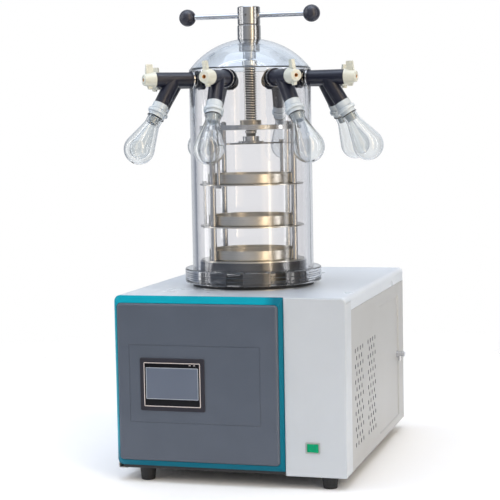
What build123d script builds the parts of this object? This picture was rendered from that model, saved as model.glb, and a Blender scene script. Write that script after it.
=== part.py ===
from build123d import *

import os
from math import asin, atan2, cos, degrees, hypot, radians, sin, sqrt

# Bench freeze dryer: a sheet-metal cabinet with a cold trap, and on its deck a clear chamber
# with a manifold of flask valves and a rack whose shelves a screw spindle presses together.
# Millimetres, +Z up, the front faces -Y. The origin is under the middle of the whole machine.

os.makedirs("parts", exist_ok=True)

# ---------------------------------------------------------------- fits
run_fit = 0.05      # radial gap of a shaft that turns or slides in its hole
clear = 0.3         # gap between faces that move past each other
seam = 0.6          # visible joint line between two outer panels
cutout_play = 1.0   # how much larger a cut-out is than the body it holds

# ---------------------------------------------------------------- cabinet
cabinet_width = 466.0
cabinet_depth = 610.0
cabinet_height = 346.0      # from the underside of the body to the deck
foot_height = 24.0
sheet = 1.5
edge_radius = 10.0          # rounding of the upper long edges of the body
lower_edge = 3.0            # rounding of the lower ones
top_flange = 28.0           # how far the top cover comes down each side
chamber_offset = 10.5       # the chamber stands this far left of the cabinet's middle
chamber_setback = 225.0     # from the front of the body to the chamber's axis

# ---------------------------------------------------------------- front mouldings
moulding_wall = 3.0
frame_width = 344.0         # teal frame
frame_bottom_gap = 8.0
frame_corner = 12.0         # on the left; the right side meets the corner fascia
frame_seam_corner = 1.5
frame_rise = 9.0            # the frame slopes forward this far
frame_land = 1.5            # flat ring left where the slope ends
fascia_side_margin = 8.0    # grey fascia inside the teal frame
fascia_top_margin = 14.0
fascia_bottom_margin = 12.0
fascia_proud = 13.0
fascia_corner = 8.0
fascia_edge = 6.0
corner_wrap = 50.0          # the white corner fascia turns this far round the side
corner_proud = 2.0

screen_width = 132.0
screen_height = 104.0
screen_from_left = 56.0     # from the body's left side to the bezel
screen_from_bottom = 121.0
screen_border = 7.5
screen_corner = 3.0
screen_proud = 2.5
screen_depth = 12.0
glass_thickness = 1.5

outline_from_left = 33.0    # engraved outline round the screen and its free field
outline_from_bottom = 97.0
outline_width = 267.0
outline_height = 154.0
outline_groove = 1.2

switch_width = 29.0
switch_height = 22.0
switch_off_middle = 6.0     # how far left of the corner fascia's middle the switch stands
switch_from_bottom = 57.0
switch_rim = 2.8           # of the frame round the rocker
switch_wall = 1.2
switch_proud = 2.0
switch_depth = 20.0
rocker_tilt = 8.0           # degrees to each side of the middle
rocker_pivot_depth = 1.5    # behind the fascia's face
rocker_crest = 3.5          # from the pivot to the middle of the rocker's face
rocker_pin_radius = 1.2

# ---------------------------------------------------------------- side panels
slot_width = 7.0
slot_height = 10.0
slot_pitch = 24.0
slot_row_pitch = 15.5
slot_rows = 13
slots_in_row = 4
slot_group_setbacks = (120.5, 245.0)    # from the front of the body to each group's middle
slot_bottom = 47.0                      # from the underside of the body to the lowest row
recess_setback = 329.0                  # pressed field at the rear of the right side
recess_length = 221.0
recess_bottom = 18.0
recess_height = 272.0
recess_depth = 2.0

# ---------------------------------------------------------------- feet and base
foot_radius = 16.5
foot_base_radius = 13.5
foot_edge = 2.0
foot_inset_left = 55.5
foot_inset_right = 38.5
foot_inset_front = 20.0
foot_inset_rear = 40.0
chassis_sheet = 2.0
chassis_wall = 22.0
return_flange = 8.0

# ---------------------------------------------------------------- cold trap
trap_radius = 104.0
trap_depth = 155.0
trap_flange_radius = 126.0
pot_wall = 1.5
foam_wall = 20.0
foam_floor = 16.0
pot_corner = 12.0
coil_pitch = 15.0
coil_turns = 5
coil_top = 70.0             # from the deck down to the top of the coil
seal_radius = 124.7
seal_inner_radius = 112.0
seal_height = 7.5

# ---------------------------------------------------------------- chamber, heights over the deck
tube_radius = 125.0
tube_wall = 10.0
foot_flange_radius = 141.0
foot_flange = 29.0
chamber_edge = 3.0
tube_top = 443.5
dome_rise = 63.0
dome_wall = 8.0
dome_flat_radius = 25.5     # level faces for the gland, inside and outside
dome_outer_flat = 504.0
dome_inner_flat = 496.0

gland_radius = 24.0
gland_top = 533.7
gland_edge = 1.5
gland_groove = 1.2
gland_groove_low = 510.0
gland_stem_radius = 14.0
gland_stem_bottom = 484.0
gland_nut_radius = 21.5
gland_nut_top_room = 14.0   # depth of the nut's thread
gland_nut_height = 15.0
gland_tail_radius = 13.5
gland_tail = 15.0

# ---------------------------------------------------------------- handle
hub_radius = 23.3
hub_height = 37.0
hub_edge = 1.5
bar_radius = 5.0
bar_height = 19.0           # of the cross bar over the hub's underside
bar_half_length = 132.0
ball_radius = 17.5
ball_flat = 8.0             # radius of the flat where the bar enters
set_screw_radius = 2.5
set_screw_depth = 6.0
shaft_radius = 6.5
shaft_flat = 5.0            # half the width across the drive flats
shaft_end = 345.0           # height of the drive shaft's lower end

# ---------------------------------------------------------------- manifold
port_count = 8
port_height = 423.0
port_turn = -6.4            # degrees from straight front to the first port
branch_lean = 6.5           # degrees that each valve is turned about its own port
branch_angle = 30.5         # degrees between a branch and the vertical
valve_radius = 15.0
valve_bore = 10.0
valve_end = 206.0           # from the chamber's axis to a valve's outer end
valve_edge = 1.0
branch_from_axis = 166.5
branch_length = 58.0
port_flange_radius = 18.0
port_flange = 4.0
port_ring_radius = 16.5
port_ring = 2.5
nipple_radius = 13.0
port_nut = 5.5
nut_relief = 1.8            # the port nut's flat face inside the round bore
knob_radius = 16.0
knob_tip_radius = 11.5
knob_length = 24.0
knob_edge = 1.5
plug_length = 30.0
vent_radius = 4.0
vent_depth = 15.0
fin_height = 31.0
fin_thickness = 7.0
fin_base_start = 1.0        # of the fin's root along the knob
fin_base_length = 19.0
fin_tip_start = 4.0
fin_tip_length = 13.0
lobe_height = 19.0
lobe_start = 3.0
lobe_length = 15.0
lobe_tip = 4.0

adapter_band_radius = 16.0
adapter_band = 12.0
adapter_groove = 2.0
adapter_groove_radius = 15.0
adapter_bead_radius = 19.5
adapter_bead = 7.0
adapter_body_radius = 15.5
adapter_length = 30.0       # from the branch's end to the flask's rim
adapter_spigot = 20.0
adapter_plug_radius = 11.5
adapter_plug_tip = 10.5
adapter_plug = 14.0
adapter_bore = 7.0
flask_neck_radius = 14.5
flask_neck_length = 15.0
flask_bulb_radius = 31.0
flask_wall = 1.8
flask_centre = 102.0        # from the branch's end to the middle of the bulb

# ---------------------------------------------------------------- rack, heights over the deck
rack_turn = 19.0            # degrees that the rack faces away from straight front
base_radius = 110.0
base_wall = 5.0
base_ring = 22.0
base_ring_height = 10.0
base_top = 53.5
base_windows = 8
base_window_width = 34.0
base_window_height = 26.0
base_window_corner = 3.0
shelf_radius = 106.0
shelf_thickness = 2.5
middle_shelf_bottom = 123.5
top_shelf_bottom = 208.5
tray_radius = 90.0
tray_height = 20.0
tray_wall = 1.0
tray_corner = 3.0
top_plate_bottom = 320.0
top_plate_thickness = 10.0
top_plate_radius = 104.0
plate_edge = 1.0
rod_radius = 5.75
rod_circle = 97.0
rod_angles = (-56.0, 56.0, 125.0, -145.0)       # from the rack's own front
rod_socket = 8.5            # how deep a rod sits in the base ring
rod_end_radius = 4.0
rod_end_length = 8.0        # over the top plate
nut_flats = 12.0
rod_nut_height = 6.5
hanger_radius = 3.25
hanger_end_radius = 2.5
hanger_circle = 99.0
upper_hanger_angles = (-44.0, 136.0)
lower_hanger_angles = (-98.0, 111.0)
hanger_nut_flats = 9.0
hanger_nut_height = 5.0
acorn_radius = 4.5
acorn_height = 9.0

press_bottom = 291.0
press_thickness = 3.0
press_length = 210.0
press_width = 60.0
press_corner = 8.0
press_rods = (0, 2)         # the guide rods that pass through it, by their place in the list
boss_radius = 17.0
boss_foot_radius = 26.5
boss_foot = 3.0
boss_top = 307.0

spindle_radius = 13.0
spindle_thread_top = 452.0
spindle_head_radius = 15.5
spindle_top = 462.0
spindle_edge = 1.0
spindle_collar_radius = 12.0
spindle_collar = 5.0
spindle_thread_bottom = 318.0
spindle_neck_radius = 10.0
spindle_spigot_radius = 8.0
spindle_disc_radius = 11.0
spindle_disc = 3.4
spindle_bore_depth = 132.0
nut_flange_radius = 22.0
nut_flange = 10.0
nut_body_radius = 17.0

# ---------------------------------------------------------------- machinery
compressor_radius = 75.0
compressor_height = 180.0
compressor_from_left = 110.0
compressor_behind_trap = 265.0
compressor_dome = 30.0      # rounding of the shell's ends
weld_lip = 4.0
grommet_radius = 12.0
grommet_height = 14.0
mount_plate = 160.0
mount_corner = 18.0
mount_sheet = 3.0
stub_radius = 7.0
stub_length = 6.0
stub_height = 150.0         # of the compressor's connections over the bench
terminal_width = 40.0
terminal_height = 50.0
terminal_depth = 24.0

condenser_length = 230.0
condenser_height = 190.0
condenser_depth = 38.0
condenser_setback = 70.0
condenser_gap = 14.0        # from the right side panel
condenser_passes = 7
condenser_pass_pitch = 25.0
condenser_first_pass = 22.5     # over the floor
condenser_turn = 14.0           # how far the tube's turns stand out of the ends
end_plate = 2.0
fin_pitch = 8.0
fin_sheet = 0.8
fin_lift = 6.0              # of the fins over the floor

fan_size = 200.0
fan_depth = 34.0
fan_gap = 2.0
fan_corner = 10.0
fan_bore_radius = 92.0
fan_spoke = 12.0
fan_spoke_depth = 6.0
motor_radius = 26.0
motor_length = 13.0
fan_hub_radius = 30.0
fan_hub_length = 14.0
fan_hub_gap = 1.0
fan_shaft_radius = 3.0
fan_blades = 7
blade_reach = 86.0
blade_chord = 34.0
blade_sheet = 2.0
blade_pitch = 30.0          # degrees

pipe_radius = 14.0
pipe_bore_radius = 11.0
hose_end_radius = 12.5      # of the pipe's end outside the rear panel
pipe_drop = 45.0            # from the deck down to the vacuum pipe's axis
pipe_reach = 30.0           # how far that end stands out of the rear panel
pipe_entry = 3.0            # how far it enters the trap
line_radius = 4.75          # refrigerant lines
line_bend = 12.0
line_gap = 0.15             # between the ends of two lines
liquid_line_setback = 35.0  # from the front of the body
suction_behind_trap = 158.0
discharge_reach = 21.5      # from the compressor's connection out to the discharge line's riser
drier_radius = 10.0
drier_length = 70.0

drain_radius = 5.0
drain_wall = 1.0
drain_setback = 539.0       # from the front of the body to the drain valve
drain_drop = 33.0           # from the trap's floor down to the drain valve's axis
drain_stem = 8.0            # behind the side panel
drain_flange_radius = 7.5
drain_flange = 1.5
drain_body_radius = 6.0
drain_body_length = 10.0
drain_collar_radius = 4.5
drain_collar_length = 7.5
drain_spout_radius = 3.5
drain_spout_bore = 2.0
drain_spout_length = 15.0
drain_knob_radius = 5.5
drain_knob_length = 6.0
drain_wing = 18.0
drain_wing_width = 4.0
drain_pin_radius = 2.0
drain_pin_length = 3.5

inlet_width = 50.0
inlet_height = 28.0
inlet_corner = 3.0
inlet_flange = 3.0
inlet_body_width = 42.0
inlet_body_height = 22.0
inlet_depth = 30.0
inlet_pocket_width = 36.0
inlet_pocket_height = 16.0
inlet_pocket_depth = 18.0
inlet_pin_width = 2.0
inlet_pin_height = 5.0
inlet_pin_length = 14.0
inlet_pin_pitch = 8.0
inlet_from_left = 70.0
inlet_from_bottom = 60.0
rear_vent_from_right = 110.0
rear_vent_from_bottom = 170.0
rear_vent_length = 60.0
rear_vent_pitch = 14.0
rear_vent_rows = 8
screw_radius = 2.0
screw_length = 8.0
screw_head_radius = 4.0
screw_head = 2.2
screw_cross = 4.0
screw_cross_width = 1.0
screw_inset = 12.0
rear_screw_pitch = 130.0

box_width = 90.0
box_depth = 70.0
box_height = 170.0
box_from_left = 10.0
box_setback = 30.0
box_edge = 3.0
terminal_strip = 8.0
terminal_strip_height = 10.0

# ================================================================ places worked out from the sizes
body_bottom = foot_height
deck = body_bottom + cabinet_height

flask_side = flask_centre + branch_length
flask_out = branch_from_axis + flask_side * sin(radians(branch_angle))
flask_down = flask_side * cos(radians(branch_angle))
flask_across = flask_down * sin(radians(branch_lean))
flask_turn = port_turn + degrees(atan2(flask_across, flask_out))
flask_reach = hypot(flask_out, flask_across) * cos(radians(flask_turn)) + flask_bulb_radius

rear_reach = cabinet_depth - chamber_setback + pipe_reach
chamber_y = (flask_reach - rear_reach) / 2
cabinet_x = chamber_offset
left = cabinet_x - cabinet_width / 2
right = cabinet_x + cabinet_width / 2
front = chamber_y - chamber_setback
back = front + cabinet_depth
inner_front = front + moulding_wall             # where mouldings meet the chassis


def upright(y):
    """A vertical plane facing the front, at depth y: sketches in it are drawn in X and Z."""
    return Plane.XZ.offset(-y)


def across_x(x, y, z):
    """A plane across the X direction, facing right: sketches in it are drawn in Y and Z."""
    return Plane((x, y, z), x_dir=(0, 1, 0), z_dir=(1, 0, 0))


def across_y(x, y, z, way=1):
    """A plane across the Y direction, facing the rear, or the front when way is -1."""
    return Plane((x, y, z), x_dir=(1, 0, 0), z_dir=(0, way, 0))


def around_chamber(height):
    """A level plane centred on the chamber's axis, at a height over the deck."""
    return Plane((0, chamber_y, deck + height))


def rack_spot(angle, radius):
    """A point on a circle round the chamber, at an angle from the rack's own front."""
    turn = radians(angle + rack_turn)
    return (radius * sin(turn), -radius * cos(turn))


def port_plane(index):
    """The plane of one valve: x runs outward along the port, z is up along its own lean."""
    turn = radians(port_turn + index * 360 / port_count)
    outward = Vector(sin(turn), -cos(turn), 0)
    across = Vector(cos(turn), sin(turn), 0)
    lean = radians(branch_lean)
    up = Vector(0, 0, cos(lean)) - across * sin(lean)
    return Plane((0, chamber_y, deck + port_height), x_dir=outward, z_dir=up)


def save(piece, name):
    """Labels a finished piece and writes its file."""
    piece.part.label = name
    export_step(piece.part, f"parts/{name}.step")


ports = [port_plane(index) for index in range(port_count)]
rod_spots = [rack_spot(angle, rod_circle) for angle in rod_angles]
upper_spots = [rack_spot(angle, hanger_circle) for angle in upper_hanger_angles]
lower_spots = [rack_spot(angle, hanger_circle) for angle in lower_hanger_angles]

# ================================================================ cabinet
# ---------------------------------------------------------------- chassis: floor, low walls, front wall
chassis_left = left + edge_radius
chassis_right = right - edge_radius
chassis_floor = body_bottom + sheet
chassis_width = chassis_right - chassis_left
chassis_back = back - sheet
floor_top = chassis_floor + chassis_sheet
wall_top = deck - sheet

screen_x = left + screen_from_left + screen_width / 2
screen_z = body_bottom + screen_from_bottom + screen_height / 2
corner_left = left + frame_width + seam
switch_x = (corner_left + right) / 2 - switch_off_middle
switch_z = body_bottom + switch_from_bottom
screen_body_width = screen_width - 2 * screen_border
screen_body_height = screen_height - 2 * screen_border
rocker_opening_width = switch_width - 2 * switch_rim
rocker_opening_height = switch_height - 2 * switch_rim
switch_body_width = rocker_opening_width + 2 * switch_wall
switch_body_height = rocker_opening_height + 2 * switch_wall

with BuildPart() as chassis:
    with BuildSketch(Plane.XY.offset(chassis_floor)):
        with Locations(((chassis_left + chassis_right) / 2, (inner_front + chassis_back) / 2)):
            Rectangle(chassis_width, chassis_back - inner_front)
    extrude(amount=chassis_wall)
    with BuildSketch(Plane.XY.offset(floor_top)):
        with Locations(((chassis_left + chassis_right) / 2, (inner_front + chassis_back) / 2)):
            Rectangle(
                chassis_width - 2 * chassis_sheet, chassis_back - inner_front - 2 * chassis_sheet
            )
    extrude(amount=chassis_wall, mode=Mode.SUBTRACT)
    with BuildSketch(upright(inner_front)):
        with Locations(((chassis_left + chassis_right) / 2, (floor_top + wall_top) / 2)):
            Rectangle(chassis_width, wall_top - floor_top)
    extrude(amount=-chassis_sheet)
    with BuildSketch(upright(inner_front)):
        with Locations((screen_x, screen_z)):
            Rectangle(screen_body_width + cutout_play, screen_body_height + cutout_play)
        with Locations((switch_x, switch_z)):
            Rectangle(switch_body_width + cutout_play, switch_body_height + cutout_play)
    extrude(amount=-chassis_sheet, mode=Mode.SUBTRACT)
save(chassis, "chassis")

# ---------------------------------------------------------------- four tapered rubber feet
foot_spots = [
    (x, y)
    for x in (left + foot_inset_left, right - foot_inset_right)
    for y in (front + foot_inset_front, back - foot_inset_rear)
]

with BuildPart() as rubber_feet:
    with Locations(foot_spots):
        Cone(
            foot_base_radius, foot_radius, chassis_floor,
            align=(Align.CENTER, Align.CENTER, Align.MIN),
        )
    fillet(rubber_feet.faces().filter_by(Axis.Z).group_by(Axis.Z)[0].edges(), foot_edge)
save(rubber_feet, "rubber_feet")

# ---------------------------------------------------------------- top cover with the deck opening
deck_hole_radius = trap_radius + pot_wall + cutout_play
wrap_end = front + corner_wrap

with BuildPart() as top_cover:
    with BuildSketch(upright(back)):
        with Locations((cabinet_x, deck)):
            Rectangle(cabinet_width, top_flange, align=(Align.CENTER, Align.MAX))
    extrude(amount=back - inner_front)
    fillet(top_cover.edges().filter_by(Axis.Y).group_by(Axis.Z)[-1], edge_radius)
    ends = top_cover.faces().filter_by(Axis.Y)
    offset(amount=-sheet, openings=ends + top_cover.faces().sort_by(Axis.Z)[:1])
    with BuildSketch(around_chamber(0)):
        Circle(deck_hole_radius)
    extrude(amount=-sheet, mode=Mode.SUBTRACT)
    with BuildSketch(Plane.YZ.offset(right)):
        with Locations((inner_front, deck - top_flange)):
            Rectangle(wrap_end - inner_front, top_flange - edge_radius, align=Align.MIN)
    extrude(amount=-sheet, mode=Mode.SUBTRACT)
save(top_cover, "top_cover")

# ---------------------------------------------------------------- side panels
panel_top = deck - top_flange - seam
lip_height = 12.0


def slot_spots(setback):
    """Staggered rows of slots round a group's middle, in Y and Z: four and three by turns."""
    spots = []
    for row in range(slot_rows):
        count = slots_in_row - row % 2
        height = body_bottom + slot_bottom + row * slot_row_pitch
        for column in range(count):
            along = (column - (count - 1) / 2) * slot_pitch
            spots.append((front + setback + along, height))
    return spots


def side_shell(side, start):
    """One side of the body: its lower edge turns under, and a lip backs the top cover."""
    outer = cabinet_x + side * cabinet_width / 2
    hang = Align.MAX if side > 0 else Align.MIN
    with BuildPart() as shell:
        with BuildSketch(upright(back)):
            with Locations((outer, body_bottom)):
                Rectangle(
                    edge_radius + return_flange, panel_top - body_bottom, align=(hang, Align.MIN)
                )
        extrude(amount=back - start)
        lower = shell.edges().filter_by(Axis.Y).group_by(Axis.Z)[0].sort_by(Axis.X, side < 0)[-1]
        fillet(lower, lower_edge)
        inner = shell.faces().filter_by(Axis.X).sort_by(Axis.X, side < 0)[0]
        top = shell.faces().sort_by(Axis.Z)[-1]
        offset(amount=-sheet, openings=shell.faces().filter_by(Axis.Y) + [inner, top])
        with BuildSketch(Plane.YZ.offset(outer - side * sheet)):
            with Locations((start, panel_top - lip_height)):
                Rectangle(chassis_back - start, lip_height + top_flange - edge_radius, align=Align.MIN)
        extrude(amount=-side * sheet)
        with BuildSketch(Plane.YZ.offset(outer)):
            for setback in slot_group_setbacks:
                with Locations(slot_spots(setback)):
                    SlotOverall(slot_height, slot_width, rotation=90)
        extrude(amount=-side * sheet, mode=Mode.SUBTRACT)
    return shell


left_side_panel = side_shell(-1, inner_front)
save(left_side_panel, "left_side_panel")

right_shell = side_shell(1, wrap_end + seam)
recess_spot = (
    front + recess_setback + recess_length / 2, body_bottom + recess_bottom + recess_height / 2
)
drain_y = front + drain_setback
drain_z = deck - trap_depth - drain_drop
recess_x = right - recess_depth

with BuildPart() as right_side_panel:
    add(right_shell.part)
    with BuildSketch(Plane.YZ.offset(right - sheet)):
        with Locations(recess_spot):
            Rectangle(recess_length + 2 * sheet, recess_height + 2 * sheet)
    extrude(amount=-recess_depth)
    with BuildSketch(Plane.YZ.offset(right)):
        with Locations(recess_spot):
            Rectangle(recess_length, recess_height)
    extrude(amount=-recess_depth, taper=45, mode=Mode.SUBTRACT)
    with BuildSketch(Plane.YZ.offset(right)):
        with Locations((drain_y, drain_z)):
            Circle(drain_radius + clear)
    extrude(amount=-recess_depth - sheet, mode=Mode.SUBTRACT)
save(right_side_panel, "right_side_panel")

# ---------------------------------------------------------------- rear panel
pipe_z = deck - pipe_drop
rear_width = cabinet_width - 2 * sheet - 2 * clear
rear_height = wall_top - chassis_floor - 2 * clear
rear_middle = (chassis_floor + wall_top) / 2
inlet_x = left + inlet_from_left
inlet_z = body_bottom + inlet_from_bottom
screw_spots = [
    (cabinet_x + side * (rear_width / 2 - screw_inset), rear_middle + row * rear_screw_pitch)
    for side in (-1, 1)
    for row in (-1, 0, 1)
]

with BuildPart() as rear_panel:
    with BuildSketch(upright(chassis_back)) as rear_outline:
        with Locations((cabinet_x, rear_middle)):
            Rectangle(rear_width, rear_height)
        fillet(rear_outline.vertices().group_by(Axis.Y)[-1], edge_radius - sheet - clear)
        fillet(rear_outline.vertices().group_by(Axis.Y)[0], lower_edge - sheet - clear)
        with Locations((0, pipe_z)):
            Circle(pipe_radius + clear, mode=Mode.SUBTRACT)
        with Locations((inlet_x, inlet_z)):
            Rectangle(inlet_body_width + cutout_play, inlet_body_height + cutout_play, mode=Mode.SUBTRACT)
        with Locations(screw_spots):
            Circle(screw_radius + clear, mode=Mode.SUBTRACT)
        with Locations((right - rear_vent_from_right, body_bottom + rear_vent_from_bottom)):
            with GridLocations(rear_vent_length + rear_vent_pitch, rear_vent_pitch, 2, rear_vent_rows):
                SlotOverall(rear_vent_length, slot_width, mode=Mode.SUBTRACT)
    extrude(amount=-sheet)
save(rear_panel, "rear_panel")

# ---------------------------------------------------------------- teal front frame
frame_height = cabinet_height - frame_bottom_gap
frame_spot = (left + frame_width / 2, deck - frame_height / 2)
fascia_width = frame_width - 2 * fascia_side_margin
fascia_height = frame_height - fascia_top_margin - fascia_bottom_margin
fascia_spot = (frame_spot[0], deck - fascia_top_margin - fascia_height / 2)
opening_width = fascia_width + 2 * clear
opening_height = fascia_height + 2 * clear

with BuildSketch() as frame_outline:
    with Locations(frame_spot):
        Rectangle(frame_width, frame_height)
    fillet(frame_outline.vertices().group_by(Axis.X)[0], frame_corner)
    fillet(frame_outline.vertices().group_by(Axis.X)[-1], frame_seam_corner)

with BuildPart() as front_frame:
    with BuildSketch(upright(inner_front)):
        add(frame_outline.sketch)
    extrude(amount=moulding_wall)
    with BuildSketch(upright(front)):
        add(frame_outline.sketch)
    with BuildSketch(upright(front - frame_rise)):
        with Locations(fascia_spot):
            RectangleRounded(opening_width + frame_land, opening_height + frame_land, fascia_corner + frame_land)
    loft()
    with BuildSketch(upright(inner_front)):
        with Locations(fascia_spot):
            RectangleRounded(opening_width, opening_height, fascia_corner + clear)
    extrude(amount=moulding_wall + frame_rise, mode=Mode.SUBTRACT)
save(front_frame, "front_frame")

# ---------------------------------------------------------------- grey front fascia
fascia_face = front - fascia_proud
outline_spot = (
    left + outline_from_left + outline_width / 2, body_bottom + outline_from_bottom + outline_height / 2
)

with BuildPart() as front_fascia:
    with BuildSketch(upright(inner_front)):
        with Locations(fascia_spot):
            RectangleRounded(fascia_width, fascia_height, fascia_corner)
    extrude(amount=moulding_wall + fascia_proud)
    fillet(front_fascia.faces().sort_by(Axis.Y)[0].edges(), fascia_edge)
    with BuildSketch(upright(inner_front)):
        with Locations(fascia_spot):
            RectangleRounded(
                fascia_width - 2 * moulding_wall, fascia_height - 2 * moulding_wall,
                fascia_corner - moulding_wall,
            )
    extrude(amount=fascia_proud, mode=Mode.SUBTRACT)
    with BuildSketch(upright(fascia_face)):
        with Locations(outline_spot):
            Rectangle(outline_width, outline_height)
            Rectangle(
                outline_width - 2 * outline_groove, outline_height - 2 * outline_groove,
                mode=Mode.SUBTRACT,
            )
    extrude(amount=-outline_groove / 2, mode=Mode.SUBTRACT)
    with BuildSketch(upright(fascia_face)):
        with Locations((screen_x, screen_z)):
            Rectangle(screen_body_width + cutout_play, screen_body_height + cutout_play)
    extrude(amount=-moulding_wall, mode=Mode.SUBTRACT)
save(front_fascia, "front_fascia")

# ---------------------------------------------------------------- white corner fascia
corner_face = front - corner_proud
corner_top = deck - seam

with BuildPart() as corner_fascia:
    with BuildSketch(upright(wrap_end)):
        with Locations((right, body_bottom)):
            Rectangle(right - corner_left, corner_top - body_bottom, align=(Align.MAX, Align.MIN))
    extrude(amount=wrap_end - corner_face)
    fillet(corner_fascia.edges().filter_by(Axis.Y).group_by(Axis.Z)[-1].sort_by(Axis.X)[-1], edge_radius)
    fillet(corner_fascia.edges().filter_by(Axis.Y).group_by(Axis.Z)[0].sort_by(Axis.X)[-1], lower_edge)
    with BuildSketch(upright(wrap_end)) as corner_room:
        with Locations((right - sheet, chassis_floor)):
            Rectangle(right - corner_left, cabinet_height, align=(Align.MAX, Align.MIN))
        fillet(corner_room.vertices().sort_by(Axis.X)[-2:].sort_by(Axis.Y)[0], lower_edge - sheet)
    extrude(amount=wrap_end - inner_front, mode=Mode.SUBTRACT)
    with BuildSketch(upright(wrap_end)):
        with Locations((right, deck - edge_radius - seam)):
            Rectangle(right - corner_left, edge_radius, align=(Align.MAX, Align.MIN))
        with Locations((right - edge_radius - return_flange, body_bottom)):
            Rectangle(right - corner_left, sheet, align=(Align.MAX, Align.MIN))
    extrude(amount=wrap_end - inner_front, mode=Mode.SUBTRACT)
    fillet(corner_fascia.faces().sort_by(Axis.Y)[0].edges(), corner_proud)
    with BuildSketch(upright(corner_face)):
        with Locations((switch_x, switch_z)):
            Rectangle(switch_body_width + cutout_play, switch_body_height + cutout_play)
    extrude(amount=-corner_proud - moulding_wall, mode=Mode.SUBTRACT)
save(corner_fascia, "corner_fascia")

# ---------------------------------------------------------------- touch screen
bezel_face = fascia_face - screen_proud

with BuildPart() as screen_bezel:
    with BuildSketch(upright(fascia_face)):
        with Locations((screen_x, screen_z)):
            RectangleRounded(screen_width, screen_height, screen_corner)
    extrude(amount=screen_proud)
    chamfer(screen_bezel.faces().sort_by(Axis.Y)[0].edges(), screen_proud / 3)
    with BuildSketch(upright(fascia_face)):
        with Locations((screen_x, screen_z)):
            Rectangle(screen_body_width, screen_body_height)
    extrude(amount=-screen_depth)
    with BuildSketch(upright(bezel_face)):
        with Locations((screen_x, screen_z)):
            Rectangle(screen_body_width, screen_body_height)
    extrude(amount=-glass_thickness, mode=Mode.SUBTRACT)
save(screen_bezel, "screen_bezel")

with BuildPart() as screen_glass:
    with BuildSketch(upright(bezel_face + glass_thickness)):
        with Locations((screen_x, screen_z)):
            Rectangle(screen_body_width - 2 * clear, screen_body_height - 2 * clear)
    extrude(amount=glass_thickness)
    chamfer(screen_glass.faces().sort_by(Axis.Y)[0].edges(), clear)
save(screen_glass, "screen_glass")

# ---------------------------------------------------------------- rocker switch
pivot_y = corner_face + rocker_pivot_depth
rocker_reach = rocker_opening_width / 2 - clear
rocker_height = rocker_opening_height - 2 * clear
rocker_plane = Plane(
    (switch_x, pivot_y, switch_z),
    x_dir=(cos(radians(rocker_tilt)), -sin(radians(rocker_tilt)), 0), z_dir=(0, 0, 1),
)
rocker_rise = rocker_crest + rocker_reach * sin(radians(rocker_tilt))

with BuildPart() as switch_frame:
    with BuildSketch(upright(corner_face)):
        with Locations((switch_x, switch_z)):
            RectangleRounded(switch_width, switch_height, switch_proud)
    extrude(amount=switch_proud)
    with BuildSketch(upright(corner_face)):
        with Locations((switch_x, switch_z)):
            Rectangle(switch_body_width, switch_body_height)
    extrude(amount=-switch_depth)
    with BuildSketch(upright(corner_face - switch_proud)):
        with Locations((switch_x, switch_z)):
            Rectangle(rocker_opening_width, rocker_opening_height)
    extrude(amount=-switch_proud - switch_depth + switch_wall, mode=Mode.SUBTRACT)
    with BuildSketch(Plane((switch_x, pivot_y, switch_z))):
        Circle(rocker_pin_radius + run_fit)
    extrude(amount=switch_body_height / 2, both=True, mode=Mode.SUBTRACT)
save(switch_frame, "switch_frame")

with BuildPart() as switch_rocker:
    with BuildSketch(rocker_plane):
        Circle(rocker_reach)
        with BuildLine():
            Polyline(
                (-rocker_reach, -rocker_rise), (0, -rocker_crest), (rocker_reach, -rocker_rise),
                (rocker_reach, rocker_crest), (-rocker_reach, rocker_crest), close=True,
            )
        make_face(mode=Mode.INTERSECT)
    extrude(amount=rocker_height / 2, both=True)
    with BuildSketch(rocker_plane):
        Circle(rocker_pin_radius)
    extrude(amount=(rocker_opening_height + switch_wall) / 2, both=True)
save(switch_rocker, "switch_rocker")

# ================================================================ cold trap
chamber_axis = Axis((0, chamber_y, 0), (0, 0, 1))
chamber_section = Plane((0, chamber_y, deck), x_dir=(1, 0, 0), z_dir=(0, -1, 0))
pot_radius = trap_radius + pot_wall
pot_bottom = -trap_depth - pot_wall
coil_radius = pot_radius + clear + line_radius
coil_top_z = deck - coil_top
coil_end_z = coil_top_z - coil_pitch * coil_turns
foam_bore = coil_radius + line_radius + clear
foam_radius = foam_bore + foam_wall

with BuildPart() as cold_trap_pot:
    with BuildSketch(around_chamber(pot_bottom)):
        Circle(pot_radius)
    extrude(amount=-pot_bottom)
    fillet(cold_trap_pot.faces().sort_by(Axis.Z)[0].edges(), pot_corner)
    offset(amount=-pot_wall, openings=cold_trap_pot.faces().sort_by(Axis.Z)[-1])
    with BuildSketch(around_chamber(0)):
        Circle(trap_flange_radius)
        Circle(trap_radius, mode=Mode.SUBTRACT)
    extrude(amount=pot_wall)
    with BuildSketch(across_y(0, chamber_y, pipe_z)):
        Circle(pipe_radius + run_fit)
    extrude(amount=pot_radius + pot_wall, mode=Mode.SUBTRACT)
    with BuildSketch(around_chamber(pot_bottom)):
        Circle(drain_radius + run_fit)
    extrude(amount=pot_wall, mode=Mode.SUBTRACT)
save(cold_trap_pot, "cold_trap_pot")

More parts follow.
